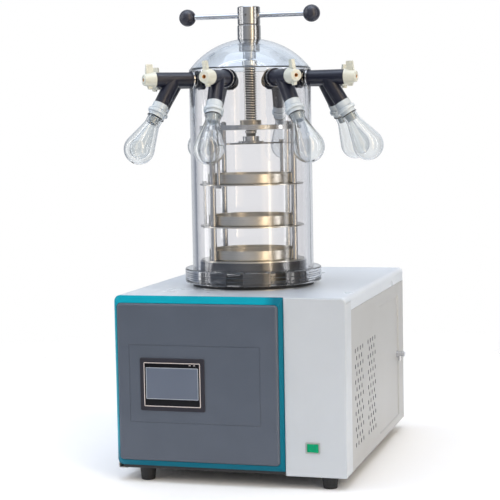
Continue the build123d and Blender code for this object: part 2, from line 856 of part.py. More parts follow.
with BuildPart() as trap_insulation:
    with BuildSketch(around_chamber(pot_bottom - foam_floor)):
        Circle(foam_radius)
    extrude(amount=foam_floor - pot_bottom - sheet)
    with BuildSketch(around_chamber(pot_bottom)):
        Circle(foam_bore)
    extrude(amount=-pot_bottom, mode=Mode.SUBTRACT)
    with BuildSketch(across_y(0, chamber_y, pipe_z)):
        Circle(pipe_radius + clear)
    extrude(amount=foam_radius, mode=Mode.SUBTRACT)
    with BuildSketch(around_chamber(pot_bottom)):
        Circle(drain_radius + clear)
    extrude(amount=-foam_floor, mode=Mode.SUBTRACT)
    with BuildSketch(across_y(coil_radius, chamber_y, coil_top_z)):
        Circle(line_radius + clear)
    extrude(amount=foam_radius, mode=Mode.SUBTRACT)
    with BuildSketch(across_y(coil_radius, chamber_y, coil_end_z, -1)):
        Circle(line_radius + clear)
    extrude(amount=foam_radius, mode=Mode.SUBTRACT)
save(trap_insulation, "trap_insulation")

with BuildPart() as seal_ring:
    with BuildSketch(around_chamber(pot_wall)):
        Circle(seal_radius)
        Circle(seal_inner_radius, mode=Mode.SUBTRACT)
    extrude(amount=seal_height)
save(seal_ring, "seal_ring")

# ================================================================ refrigeration
compressor_x = left + compressor_from_left
compressor_y = chamber_y + compressor_behind_trap
shell_bottom = floor_top + grommet_height + mount_sheet
condenser_x = right - condenser_gap - condenser_depth / 2
condenser_front = front + condenser_setback
condenser_back = condenser_front + condenser_length
pass_bottom = floor_top + condenser_first_pass
pass_top = pass_bottom + (condenser_passes - 1) * condenser_pass_pitch
liquid_y = front + liquid_line_setback
suction_y = chamber_y + suction_behind_trap


def tube_run(points, radius, bore=0):
    """A round tube bent along a chain of points, hollow when it is given a bore."""
    with BuildPart() as run:
        with BuildLine() as path:
            FilletPolyline(*points, radius=line_bend)
        with BuildSketch(Plane(path.line @ 0, z_dir=path.line % 0)):
            Circle(radius)
            if bore:
                Circle(bore, mode=Mode.SUBTRACT)
        sweep()
    return run.part


with BuildPart() as compressor:
    with BuildSketch(Plane.XY.offset(shell_bottom)):
        with Locations((compressor_x, compressor_y)):
            Circle(compressor_radius)
    extrude(amount=compressor_height)
    fillet(compressor.edges().filter_by(GeomType.CIRCLE), compressor_dome)
    with BuildSketch(Plane.XY.offset(shell_bottom + compressor_height / 2)):
        with Locations((compressor_x, compressor_y)):
            Circle(compressor_radius + weld_lip)
            Circle(compressor_radius - weld_lip, mode=Mode.SUBTRACT)
    extrude(amount=weld_lip)
    with BuildSketch(Plane.XY.offset(shell_bottom)):
        with Locations((compressor_x, compressor_y)):
            RectangleRounded(mount_plate, mount_plate, mount_corner)
    extrude(amount=-mount_sheet)
    with BuildSketch(Plane.XY.offset(floor_top)):
        with Locations((compressor_x, compressor_y)):
            with GridLocations(
                mount_plate - 2 * grommet_radius, mount_plate - 2 * grommet_radius, 2, 2
            ):
                Circle(grommet_radius)
    extrude(amount=grommet_height)
    with BuildSketch(across_x(compressor_x, compressor_y, stub_height)):
        Circle(stub_radius)
    extrude(amount=compressor_radius + stub_length)
    with BuildSketch(across_y(compressor_x, compressor_y, stub_height, -1)):
        Circle(stub_radius)
    extrude(amount=compressor_radius + stub_length)
    with Locations((compressor_x - compressor_radius, compressor_y, stub_height)):
        Box(terminal_depth, terminal_width, terminal_height)
save(compressor, "compressor")

serpentine = []
for index in range(condenser_passes):
    ends = [condenser_back + condenser_turn, condenser_front - condenser_turn]
    if index % 2:
        ends.reverse()
    height = pass_top - index * condenser_pass_pitch
    serpentine += [(condenser_x, y, height) for y in ends]
serpentine_tube = tube_run(serpentine, line_radius)
fin_spots = [
    (condenser_x, condenser_front + fin_pitch * index, floor_top + fin_lift)
    for index in range(1, int(condenser_length / fin_pitch))
]

with BuildPart() as condenser:
    with Locations(fin_spots):
        Box(
            condenser_depth, fin_sheet, condenser_height - fin_lift,
            align=(Align.CENTER, Align.CENTER, Align.MIN),
        )
    with Locations(
        (condenser_x, condenser_front + end_plate / 2, floor_top),
        (condenser_x, condenser_back - end_plate / 2, floor_top),
    ):
        Box(
            condenser_depth, end_plate, condenser_height,
            align=(Align.CENTER, Align.CENTER, Align.MIN),
        )
    add(serpentine_tube)
save(condenser, "condenser")

coil_end = condenser_front - condenser_turn
discharge_start = compressor_x + compressor_radius + stub_length
suction_line = tube_run(
    [
        (coil_radius, chamber_y + line_gap, coil_top_z),
        (coil_radius, suction_y, coil_top_z),
        (compressor_x, suction_y, coil_top_z),
        (compressor_x, suction_y, stub_height),
        (compressor_x, compressor_y - compressor_radius - stub_length, stub_height),
    ],
    line_radius,
)
discharge_line = tube_run(
    [
        (discharge_start, compressor_y, stub_height),
        (discharge_start + discharge_reach, compressor_y, stub_height),
        (discharge_start + discharge_reach, compressor_y, pass_top),
        (condenser_x, compressor_y, pass_top),
        (condenser_x, condenser_back + condenser_turn + line_gap, pass_top),
    ],
    line_radius,
)
liquid_line = tube_run(
    [
        (condenser_x, coil_end - line_gap, pass_bottom),
        (condenser_x, liquid_y, pass_bottom),
        (coil_radius, liquid_y, pass_bottom),
        (coil_radius, liquid_y, coil_end_z),
        (coil_radius, chamber_y - line_gap, coil_end_z),
    ],
    line_radius,
)

with BuildPart() as trap_coil:
    with BuildLine(Plane((0, chamber_y, coil_end_z))) as coil_path:
        Helix(coil_pitch, coil_pitch * coil_turns, coil_radius)
    with BuildSketch(Plane(coil_path.line @ 0, z_dir=coil_path.line % 0)):
        Circle(line_radius)
    sweep(is_frenet=True)

with BuildPart() as refrigerant_tubes:
    add(trap_coil.part)
    add(suction_line)
    add(discharge_line)
    add(liquid_line)
    with Locations((coil_radius, liquid_y, (coil_end_z + pass_bottom) / 2)):
        Cylinder(drier_radius, drier_length)
save(refrigerant_tubes, "refrigerant_tubes")

# ---------------------------------------------------------------- fan
fan_left = condenser_x - condenser_depth / 2 - fan_gap - fan_depth
fan_y = (condenser_front + condenser_back) / 2
fan_z = floor_top + fan_size / 2
hub_left = fan_left + motor_length + fan_hub_gap

with BuildPart() as fan_frame:
    with BuildSketch(across_x(fan_left, fan_y, fan_z)):
        RectangleRounded(fan_size, fan_size, fan_corner)
        Circle(fan_bore_radius, mode=Mode.SUBTRACT)
    extrude(amount=fan_depth)
    with BuildSketch(across_x(fan_left, fan_y, fan_z)):
        Rectangle(fan_size - fan_corner, fan_spoke)
        Rectangle(fan_spoke, fan_size - fan_corner)
    extrude(amount=fan_spoke_depth)
    with BuildSketch(across_x(fan_left, fan_y, fan_z)):
        Circle(motor_radius)
    extrude(amount=motor_length)
    with BuildSketch(across_x(fan_left + motor_length, fan_y, fan_z)):
        Circle(fan_shaft_radius + run_fit)
    extrude(amount=-motor_length, mode=Mode.SUBTRACT)
save(fan_frame, "fan_frame")

with BuildPart() as fan_rotor:
    with BuildSketch(across_x(hub_left, fan_y, fan_z)):
        Circle(fan_hub_radius)
    extrude(amount=fan_hub_length)
    with BuildSketch(across_x(hub_left, fan_y, fan_z)):
        Circle(fan_shaft_radius)
    extrude(amount=-motor_length)
    for index in range(fan_blades):
        turn = radians(index * 360 / fan_blades)
        outward = Vector(0, sin(turn), cos(turn))
        root = Vector(hub_left + fan_hub_length / 2, fan_y, fan_z) + outward * (
            fan_hub_radius - blade_sheet
        )
        with BuildSketch(Plane(root, x_dir=(1, 0, 0), z_dir=outward)):
            Rectangle(blade_chord, blade_sheet, rotation=90 - blade_pitch)
        extrude(amount=blade_reach - fan_hub_radius + blade_sheet)
save(fan_rotor, "fan_rotor")

# ---------------------------------------------------------------- vacuum pipe and drain
with BuildPart() as vacuum_pipe:
    with BuildSketch(across_y(0, chamber_y + trap_radius - pipe_entry, pipe_z)):
        Circle(pipe_radius)
    extrude(amount=back - chamber_y - trap_radius + pipe_entry)
    with BuildSketch(across_y(0, back, pipe_z)):
        Circle(hose_end_radius)
    extrude(amount=pipe_reach)
    with BuildSketch(across_y(0, back + pipe_reach, pipe_z)):
        Circle(pipe_bore_radius)
    extrude(amount=chamber_y + trap_radius - pipe_entry - back - pipe_reach, mode=Mode.SUBTRACT)
save(vacuum_pipe, "vacuum_pipe")

drain_inner_x = recess_x - sheet - drain_stem
drain_run = tube_run(
    [
        (0, chamber_y, deck - trap_depth),
        (0, chamber_y, drain_z),
        (0, drain_y, drain_z),
        (drain_inner_x, drain_y, drain_z),
    ],
    drain_radius,
    drain_radius - drain_wall,
)

with BuildPart() as drain_tube:
    add(drain_run)
save(drain_tube, "drain_tube")

drain_end_x = recess_x + drain_flange + drain_body_length
spout_x = drain_end_x - drain_collar_radius

with BuildPart() as drain_valve:
    with BuildSketch(across_x(recess_x, drain_y, drain_z)):
        Circle(drain_flange_radius)
    extrude(amount=drain_flange)
    with BuildSketch(across_x(recess_x + drain_flange, drain_y, drain_z)):
        Circle(drain_body_radius)
    extrude(amount=drain_body_length)
    with BuildSketch(across_x(recess_x, drain_y, drain_z)):
        Circle(drain_radius)
    extrude(amount=-sheet - drain_stem)
    with BuildSketch(Plane((spout_x, drain_y, drain_z))):
        Circle(drain_collar_radius)
    extrude(amount=-drain_collar_length)
    with BuildSketch(Plane((spout_x, drain_y, drain_z))):
        Circle(drain_spout_radius)
    extrude(amount=-drain_spout_length)
    with BuildSketch(Plane((spout_x, drain_y, drain_z))):
        Circle(drain_spout_bore)
    extrude(amount=-drain_spout_length, mode=Mode.SUBTRACT)
    with BuildSketch(across_x(drain_inner_x, drain_y, drain_z)):
        Circle(drain_radius - drain_wall)
    extrude(amount=drain_stem + sheet, mode=Mode.SUBTRACT)
    with BuildSketch(across_x(drain_end_x, drain_y, drain_z)):
        Circle(drain_pin_radius + run_fit)
    extrude(amount=-drain_body_length - drain_flange, mode=Mode.SUBTRACT)
save(drain_valve, "drain_valve")

with BuildPart() as drain_knob:
    with BuildSketch(across_x(drain_end_x + clear, drain_y, drain_z)):
        Circle(drain_knob_radius)
        SlotOverall(drain_wing, drain_wing_width)
    extrude(amount=drain_knob_length)
    with BuildSketch(across_x(drain_end_x + clear, drain_y, drain_z)):
        Circle(drain_pin_radius)
    extrude(amount=-clear - drain_pin_length)
save(drain_knob, "drain_knob")

# ---------------------------------------------------------------- mains inlet, screws, control box
with BuildPart() as power_inlet:
    with BuildSketch(upright(back)):
        with Locations((inlet_x, inlet_z)):
            RectangleRounded(inlet_width, inlet_height, inlet_corner)
    extrude(amount=-inlet_flange)
    with BuildSketch(upright(back)):
        with Locations((inlet_x, inlet_z)):
            Rectangle(inlet_body_width, inlet_body_height)
    extrude(amount=inlet_depth)
    with BuildSketch(upright(back + inlet_flange)):
        with Locations((inlet_x, inlet_z)):
            Rectangle(inlet_pocket_width, inlet_pocket_height)
    extrude(amount=inlet_pocket_depth, mode=Mode.SUBTRACT)
    with BuildSketch(upright(back + inlet_flange - inlet_pocket_depth)):
        with Locations((inlet_x, inlet_z)):
            with GridLocations(inlet_pin_pitch, 0, 3, 1):
                Rectangle(inlet_pin_width, inlet_pin_height)
    extrude(amount=-inlet_pin_length)
save(power_inlet, "power_inlet")

with BuildPart() as panel_screws:
    with BuildSketch(upright(back)):
        with Locations(screw_spots):
            Circle(screw_head_radius)
    extrude(amount=-screw_head)
    fillet(panel_screws.faces().group_by(Axis.Y)[-1].edges(), screw_head / 2)
    with BuildSketch(upright(back)):
        with Locations(screw_spots):
            Circle(screw_radius)
    extrude(amount=screw_length)
    with BuildSketch(upright(back + screw_head)):
        with Locations(screw_spots):
            Rectangle(screw_cross, screw_cross_width)
            Rectangle(screw_cross_width, screw_cross)
    extrude(amount=screw_cross_width, mode=Mode.SUBTRACT)
save(panel_screws, "panel_screws")

box_x = chassis_left + chassis_sheet + box_from_left + box_width / 2
box_y = front + box_setback + box_depth / 2

with BuildPart() as control_box:
    with BuildSketch(Plane.XY.offset(floor_top)):
        with Locations((box_x, box_y)):
            Rectangle(box_width, box_depth)
    extrude(amount=box_height)
    fillet(control_box.edges().filter_by(Axis.Z), box_edge)
    with BuildSketch(Plane.XY.offset(floor_top + box_height)):
        with Locations((box_x, box_y)):
            Rectangle(box_width - 2 * terminal_strip, terminal_strip)
    extrude(amount=terminal_strip_height)
save(control_box, "control_box")

# ================================================================ rack
skirt_top = base_top - base_ring_height
window_middle = (pot_wall + skirt_top) / 2

with BuildPart() as rack_base:
    with BuildSketch(around_chamber(skirt_top)):
        Circle(base_radius)
        Circle(base_radius - base_ring, mode=Mode.SUBTRACT)
    extrude(amount=base_ring_height)
    with BuildSketch(around_chamber(pot_wall)):
        Circle(base_radius)
        Circle(base_radius - base_wall, mode=Mode.SUBTRACT)
    extrude(amount=skirt_top - pot_wall)
    fillet(rack_base.faces().sort_by(Axis.Z)[-1].edges(), plate_edge)
    for index in range(base_windows):
        turn = radians(rack_turn + (index + 1 / 2) * 360 / base_windows)
        outward = Vector(sin(turn), -cos(turn), 0)
        window_plane = Plane((0, chamber_y, deck + window_middle), x_dir=(cos(turn), sin(turn), 0), z_dir=outward)
        with BuildSketch(window_plane):
            RectangleRounded(base_window_width, base_window_height, base_window_corner)
        extrude(amount=base_radius, mode=Mode.SUBTRACT)
    with BuildSketch(around_chamber(base_top)):
        with Locations(rod_spots):
            Circle(rod_radius + run_fit)
    extrude(amount=-rod_socket, mode=Mode.SUBTRACT)
save(rack_base, "rack_base")

with BuildPart() as guide_rods:
    with BuildSketch(around_chamber(base_top - rod_socket)):
        with Locations(rod_spots):
            Circle(rod_radius)
    extrude(amount=top_plate_bottom - base_top + rod_socket)
    with BuildSketch(around_chamber(top_plate_bottom)):
        with Locations(rod_spots):
            Circle(rod_end_radius)
    extrude(amount=top_plate_thickness + rod_end_length)
    chamfer(guide_rods.faces().group_by(Axis.Z)[-1].edges(), plate_edge)
    with BuildSketch(around_chamber(top_plate_bottom + top_plate_thickness)):
        with Locations(rod_spots):
            RegularPolygon(nut_flats / 2, 6, major_radius=False)
    extrude(amount=rod_nut_height)
save(guide_rods, "guide_rods")

with BuildPart() as rack_top_plate:
    with BuildSketch(around_chamber(top_plate_bottom)):
        Circle(top_plate_radius)
    extrude(amount=top_plate_thickness)
    fillet(rack_top_plate.edges().filter_by(GeomType.CIRCLE), plate_edge)
    with BuildSketch(around_chamber(top_plate_bottom)):
        Circle(nut_body_radius + run_fit)
        with Locations(rod_spots):
            Circle(rod_end_radius + run_fit)
    extrude(amount=top_plate_thickness, mode=Mode.SUBTRACT)
save(rack_top_plate, "rack_top_plate")

with BuildPart() as spindle_nut:
    with BuildSketch(around_chamber(top_plate_bottom)):
        Circle(nut_body_radius)
    extrude(amount=top_plate_thickness)
    with BuildSketch(around_chamber(top_plate_bottom + top_plate_thickness)):
        Circle(nut_flange_radius)
    extrude(amount=nut_flange)
    fillet(spindle_nut.faces().sort_by(Axis.Z)[-1].edges(), plate_edge)
    with BuildSketch(around_chamber(top_plate_bottom)):
        Circle(spindle_radius + run_fit)
    extrude(amount=top_plate_thickness + nut_flange, mode=Mode.SUBTRACT)
save(spindle_nut, "spindle_nut")


def shelf_plate(bottom, sliding_spots, fixed_spots):
    """A round shelf with holes: round the guide rods, round sliding hangers, for fixed ones."""
    with BuildPart() as plate:
        with BuildSketch(around_chamber(bottom)):
            Circle(shelf_radius)
            with Locations(rod_spots):
                Circle(rod_radius + clear, mode=Mode.SUBTRACT)
            if sliding_spots:
                with Locations(sliding_spots):
                    Circle(hanger_radius + clear, mode=Mode.SUBTRACT)
            if fixed_spots:
                with Locations(fixed_spots):
                    Circle(hanger_end_radius + run_fit, mode=Mode.SUBTRACT)
        extrude(amount=shelf_thickness)
    return plate


def hanger_rods(spots, shoulder, plate, end):
    """Two rods hung on a plate by nuts above it, with a domed nut at each lower end."""
    with BuildPart() as rods:
        with BuildSketch(around_chamber(end)):
            with Locations(spots):
                Circle(hanger_radius)
        extrude(amount=shoulder - end)
        with BuildSketch(around_chamber(shoulder)):
            with Locations(spots):
                Circle(hanger_end_radius)
        extrude(amount=plate + hanger_nut_height)
        with BuildSketch(around_chamber(shoulder + plate)):
            with Locations(spots):
                RegularPolygon(hanger_nut_flats / 2, 6, major_radius=False)
        extrude(amount=hanger_nut_height)
        with BuildSketch(around_chamber(end)):
            with Locations(spots):
                Circle(acorn_radius)
        extrude(amount=hanger_nut_height - acorn_height)
        fillet(rods.faces().group_by(Axis.Z)[0].edges(), acorn_radius - plate_edge)
        with BuildSketch(around_chamber(end)):
            with Locations(spots):
                RegularPolygon(hanger_nut_flats / 2 + clear, 6, major_radius=False)
        extrude(amount=-hanger_nut_height)
    return rods


def tray_on(shelf_bottom):
    """An open round tray standing on a shelf."""
    with BuildPart() as tray:
        with BuildSketch(around_chamber(shelf_bottom + shelf_thickness)):
            Circle(tray_radius)
        extrude(amount=tray_height)
        fillet(tray.faces().sort_by(Axis.Z)[0].edges(), tray_corner)
        offset(amount=-tray_wall, openings=tray.faces().sort_by(Axis.Z)[-1])
    return tray


bottom_shelf = shelf_plate(base_top, [], [])
save(bottom_shelf, "bottom_shelf")
middle_shelf = shelf_plate(middle_shelf_bottom, lower_spots, [])
save(middle_shelf, "middle_shelf")
top_shelf = shelf_plate(top_shelf_bottom, upper_spots, lower_spots)
save(top_shelf, "top_shelf")

upper_hangers = hanger_rods(upper_spots, press_bottom, press_thickness, top_shelf_bottom)
save(upper_hangers, "upper_hangers")
lower_hangers = hanger_rods(lower_spots, top_shelf_bottom, shelf_thickness, middle_shelf_bottom)
save(lower_hangers, "lower_hangers")

tray_bottom = tray_on(base_top)
save(tray_bottom, "tray_bottom")
tray_middle = tray_on(middle_shelf_bottom)
save(tray_middle, "tray_middle")
tray_top = tray_on(top_shelf_bottom)
save(tray_top, "tray_top")

# ---------------------------------------------------------------- press plate and spindle
press_turn = upper_hanger_angles[0] + rack_turn - 90
press_guides = [rod_spots[index] for index in press_rods]

with BuildPart() as press_plate:
    with BuildSketch(around_chamber(press_bottom).rotated((0, 0, press_turn))):
        RectangleRounded(press_length, press_width, press_corner)
    extrude(amount=press_thickness)
    with BuildSketch(chamber_section):
        with BuildLine():
            Polyline(
                (0, press_bottom), (boss_foot_radius, press_bottom),
                (boss_foot_radius, press_bottom + press_thickness + boss_foot - plate_edge),
                (boss_foot_radius - plate_edge, press_bottom + press_thickness + boss_foot),
                (boss_radius, press_bottom + press_thickness + boss_foot),
                (boss_radius, boss_top), (0, boss_top), close=True,
            )
        make_face()
    revolve(axis=chamber_axis)
    with BuildSketch(around_chamber(press_bottom)):
        Circle(spindle_spigot_radius + run_fit)
        with Locations(press_guides):
            Circle(rod_radius + clear)
        with Locations(upper_spots):
            Circle(hanger_end_radius + run_fit)
    extrude(amount=boss_top - press_bottom, mode=Mode.SUBTRACT)
    with BuildSketch(around_chamber(press_bottom)):
        Circle(spindle_disc_radius + clear)
    extrude(amount=spindle_disc + 2 * clear, mode=Mode.SUBTRACT)
save(press_plate, "press_plate")

disc_bottom = press_bottom + clear
neck_bottom = boss_top + clear
collar_bottom = spindle_thread_bottom - spindle_collar

with BuildPart() as spindle:
    with BuildSketch(chamber_section):
        with BuildLine():
            Polyline(
                (0, disc_bottom), (spindle_disc_radius, disc_bottom),
                (spindle_disc_radius, disc_bottom + spindle_disc),
                (spindle_spigot_radius, disc_bottom + spindle_disc),
                (spindle_spigot_radius, neck_bottom), (spindle_neck_radius, neck_bottom),
                (spindle_neck_radius, collar_bottom), (spindle_collar_radius, collar_bottom),
                (spindle_collar_radius, spindle_thread_bottom),
                (spindle_radius, spindle_thread_bottom), (spindle_radius, spindle_thread_top),
                (spindle_head_radius, spindle_thread_top), (spindle_head_radius, spindle_top - spindle_edge),
                (spindle_head_radius - spindle_edge, spindle_top), (0, spindle_top), close=True,
            )
        make_face()
    revolve(axis=chamber_axis)
    with BuildSketch(around_chamber(spindle_top)):
        Circle(shaft_radius + clear)
        Rectangle(2 * (shaft_radius + clear), 2 * (shaft_flat + clear), mode=Mode.INTERSECT)
    extrude(amount=-spindle_bore_depth, mode=Mode.SUBTRACT)
save(spindle, "spindle")

# ================================================================ chamber
tube_bore = tube_radius - tube_wall
foot_bottom = pot_wall + seal_height

with BuildPart() as chamber_tube:
    with BuildSketch(around_chamber(foot_bottom)):
        Circle(foot_flange_radius)
    extrude(amount=foot_flange)
    fillet(chamber_tube.edges().filter_by(GeomType.CIRCLE), chamber_edge)
    with BuildSketch(around_chamber(foot_bottom + foot_flange)):
        Circle(tube_radius)
    extrude(amount=tube_top - foot_bottom - foot_flange)
    with BuildSketch(around_chamber(foot_bottom)):
        Circle(tube_bore)
    extrude(amount=tube_top - foot_bottom, mode=Mode.SUBTRACT)
    for port in ports:
        with BuildSketch(Plane(port.origin, x_dir=port.z_dir, z_dir=port.x_dir)):
            Circle(nipple_radius + clear)
        extrude(amount=foot_flange_radius, mode=Mode.SUBTRACT)
save(chamber_tube, "chamber_tube")

dome_radius = (tube_radius**2 + dome_rise**2) / (2 * dome_rise)
dome_centre = tube_top + dome_rise - dome_radius
dome_inner_radius = dome_radius - dome_wall
dome_inner_foot = sqrt(dome_inner_radius**2 - (tube_top - dome_centre) ** 2)

dome_middle = asin(tube_radius / dome_radius) / 2

with BuildPart() as chamber_dome:
    with BuildSketch(chamber_section):
        with BuildLine():
            Line((tube_radius, tube_top), (dome_inner_foot, tube_top))
            ThreePointArc(
                (dome_inner_foot, tube_top),
                (dome_inner_radius * sin(dome_middle), dome_centre + dome_inner_radius * cos(dome_middle)),
                (0, dome_centre + dome_inner_radius),
            )
            Line((0, dome_centre + dome_inner_radius), (0, tube_top + dome_rise))
            ThreePointArc(
                (0, tube_top + dome_rise),
                (dome_radius * sin(dome_middle), dome_centre + dome_radius * cos(dome_middle)),
                (tube_radius, tube_top),
            )
        make_face()
        with Locations((0, dome_inner_flat)):
            Rectangle(dome_flat_radius, dome_outer_flat - dome_inner_flat, align=Align.MIN)
        with Locations((0, dome_outer_flat)):
            Rectangle(dome_flat_radius + chamber_edge, dome_rise, align=Align.MIN, mode=Mode.SUBTRACT)
        with Locations((0, dome_inner_flat)):
            Rectangle(
                gland_stem_radius + run_fit, dome_rise, align=(Align.MIN, Align.CENTER),
                mode=Mode.SUBTRACT,
            )
    revolve(axis=chamber_axis)
save(chamber_dome, "chamber_dome")

shaft_bore = shaft_radius + run_fit

with BuildPart() as gland_body:
    with BuildSketch(chamber_section):
        with BuildLine():
            Polyline(
                (shaft_bore, gland_stem_bottom), (gland_stem_radius, gland_stem_bottom),
                (gland_stem_radius, dome_outer_flat), (gland_radius, dome_outer_flat),
                (gland_radius, gland_groove_low),
                (gland_radius - gland_groove, gland_groove_low),
                (gland_radius - gland_groove, gland_groove_low + gland_groove),
                (gland_radius, gland_groove_low + gland_groove),
                (gland_radius, gland_top - gland_edge), (gland_radius - gland_edge, gland_top),
                (shaft_bore, gland_top), close=True,
            )
        make_face()
    revolve(axis=chamber_axis)
save(gland_body, "gland_body")

nut_seat = dome_inner_flat
nut_floor = nut_seat - gland_nut_top_room
nut_bottom = nut_seat - gland_nut_height

with BuildPart() as gland_nut:
    with BuildSketch(chamber_section):
        with BuildLine():
            Polyline(
                (shaft_bore, nut_bottom - gland_tail), (gland_tail_radius, nut_bottom - gland_tail),
                (gland_tail_radius, nut_bottom), (gland_nut_radius, nut_bottom),
                (gland_nut_radius, nut_seat), (gland_stem_radius + run_fit, nut_seat),
                (gland_stem_radius + run_fit, nut_floor), (shaft_bore, nut_floor), close=True,
            )
        make_face()
    revolve(axis=chamber_axis)
save(gland_nut, "gland_nut")

# ---------------------------------------------------------------- handle
hub_bottom = gland_top + clear
bar_z = deck + hub_bottom + bar_height

with BuildPart() as handle_hub:
    with BuildSketch(around_chamber(hub_bottom)):
        Circle(hub_radius)
    extrude(amount=hub_height)
    chamfer(handle_hub.edges().filter_by(GeomType.CIRCLE), hub_edge)
    with BuildSketch(around_chamber(shaft_end)):
        Circle(shaft_radius)
        Rectangle(2 * shaft_radius, 2 * shaft_flat, mode=Mode.INTERSECT)
    extrude(amount=spindle_top - shaft_end)
    with BuildSketch(around_chamber(spindle_top)):
        Circle(shaft_radius)
    extrude(amount=hub_bottom - spindle_top)
    with BuildSketch(across_x(0, chamber_y, bar_z)):
        Circle(bar_radius + run_fit)
    extrude(amount=hub_radius, both=True, mode=Mode.SUBTRACT)
    with BuildSketch(across_y(0, chamber_y - hub_radius, bar_z)):
        Circle(set_screw_radius)
    extrude(amount=set_screw_depth, mode=Mode.SUBTRACT)
save(handle_hub, "handle_hub")

with BuildPart() as handle_bar:
    with BuildSketch(across_x(-bar_half_length, chamber_y, bar_z)):
        Circle(bar_radius)
    extrude(amount=2 * bar_half_length)
save(handle_bar, "handle_bar")

ball_face = bar_half_length - sqrt(ball_radius**2 - ball_flat**2)

with BuildPart() as ball_knobs:
    with Locations((-bar_half_length, chamber_y, bar_z), (bar_half_length, chamber_y, bar_z)):
        Sphere(ball_radius)
    with BuildSketch(across_x(0, chamber_y, bar_z)):
        Circle(ball_radius)
    extrude(amount=ball_face, both=True, mode=Mode.SUBTRACT)
    with BuildSketch(across_x(0, chamber_y, bar_z)):
        Circle(bar_radius + run_fit)
    extrude(amount=bar_half_length + clear, both=True, mode=Mode.SUBTRACT)
save(ball_knobs, "ball_knobs")

# ================================================================ manifold
# One valve, with x outward along its port, z up, and the chamber's axis at the origin.
port_axis = Axis((0, 0, 0), (1, 0, 0))
branch_dir = Vector(sin(radians(branch_angle)), 0, -cos(radians(branch_angle)))
branch = Plane((branch_from_axis, 0, 0), x_dir=(0, 1, 0), z_dir=branch_dir)
nut_outer = tube_bore - nut_relief
nut_inner = nut_outer - port_nut
seat = tube_radius + clear
ring_start = seat + port_flange

with BuildPart() as valve:
    with BuildSketch(Plane.XZ):
        with BuildLine():
            Polyline(
                (nut_inner, 0), (nut_inner, port_flange_radius),
                (nut_outer, port_flange_radius), (nut_outer, nipple_radius),
                (seat, nipple_radius), (seat, port_flange_radius),
                (ring_start, port_flange_radius), (ring_start, port_ring_radius),
                (ring_start + port_ring, port_ring_radius), (ring_start + port_ring, valve_radius),
                (valve_end - valve_edge, valve_radius), (valve_end, valve_radius - valve_edge),
                (valve_end, 0), close=True,
            )
        make_face()
    revolve(axis=port_axis)
    with BuildSketch(branch):
        Circle(valve_radius)
    extrude(amount=branch_length)
    with BuildSketch(branch):
        Circle(valve_bore)
    extrude(amount=branch_length, mode=Mode.SUBTRACT)
    with BuildSketch(Plane.YZ.offset(nut_inner)):
        Circle(valve_bore)
    extrude(amount=valve_end - nut_inner, mode=Mode.SUBTRACT)

with BuildPart() as valve_bodies:
    with Locations(ports):
        add(valve.part)
save(valve_bodies, "valve_bodies")

knob_start = valve_end + clear
knob_end = knob_start + knob_length

with BuildPart() as knob:
    with BuildSketch(Plane.XZ):
        with BuildLine():
            Polyline(
                (knob_start - plug_length, 0), (knob_start - plug_length, valve_bore - run_fit),
                (knob_start, valve_bore - run_fit), (knob_start, knob_radius),
                (knob_end - knob_edge, knob_tip_radius), (knob_end, knob_tip_radius - knob_edge),
                (knob_end, 0), close=True,
            )
        make_face()
    revolve(axis=port_axis)
    with BuildSketch(Plane.XZ):
        with BuildLine():
            Polyline(
                (knob_start + fin_base_start, 0), (knob_start + fin_tip_start, fin_height),
                (knob_start + fin_tip_start + fin_tip_length, fin_height),
                (knob_start + fin_base_start + fin_base_length, 0),
                (knob_start + lobe_start + lobe_length - lobe_tip, -lobe_height),
                (knob_start + lobe_start + lobe_tip, -lobe_height), close=True,
            )
        make_face()
    extrude(amount=fin_thickness / 2, both=True)
    with BuildSketch(Plane.YZ.offset(knob_end)):
        Circle(vent_radius)
    extrude(amount=-vent_depth, mode=Mode.SUBTRACT)

for index, port in enumerate(ports):
    with BuildPart() as valve_knob:
        with Locations(port):
            add(knob.part)
    save(valve_knob, f"valve_knob_{index + 1}")

# Adapter and flask are turned about the branch, at distances from where it leaves the valve.
band_top = branch_length + adapter_band
bead_start = band_top + adapter_groove
rim = branch_length + adapter_length

with BuildPart() as adapter:
    with BuildSketch(Plane.XZ):
        with BuildLine():
            Polyline(
                (adapter_bore, branch_length - adapter_spigot),
                (valve_bore - run_fit, branch_length - adapter_spigot),
                (valve_bore - run_fit, branch_length), (adapter_band_radius, branch_length),
                (adapter_band_radius, band_top), (adapter_groove_radius, band_top),
                (adapter_groove_radius, bead_start),
                (adapter_bead_radius - plate_edge, bead_start),
                (adapter_bead_radius, bead_start + plate_edge),
                (adapter_bead_radius, bead_start + adapter_bead - plate_edge),
                (adapter_bead_radius - plate_edge, bead_start + adapter_bead),
                (adapter_body_radius, bead_start + adapter_bead),
                (adapter_body_radius, rim), (adapter_plug_radius, rim),
                (adapter_plug_tip, rim + adapter_plug), (adapter_bore, rim + adapter_plug),
                close=True,
            )
        make_face()
    revolve(axis=Axis.Z)

bulb_middle = branch_length + flask_centre
neck_end = rim + flask_neck_length


def cone_touch(neck, bulb):
    """Where a straight shoulder from the neck's end touches the bulb: radius and distance."""
    reach = hypot(bulb_middle - neck_end, neck)
    slope = asin(bulb / reach) - atan2(neck, bulb_middle - neck_end)
    return (bulb * cos(slope), bulb_middle - bulb * sin(slope))


flask_inner_radius = flask_bulb_radius - flask_wall
neck_inner_radius = flask_neck_radius - flask_wall
touch_outer = cone_touch(flask_neck_radius, flask_bulb_radius)
touch_inner = cone_touch(neck_inner_radius, flask_inner_radius)

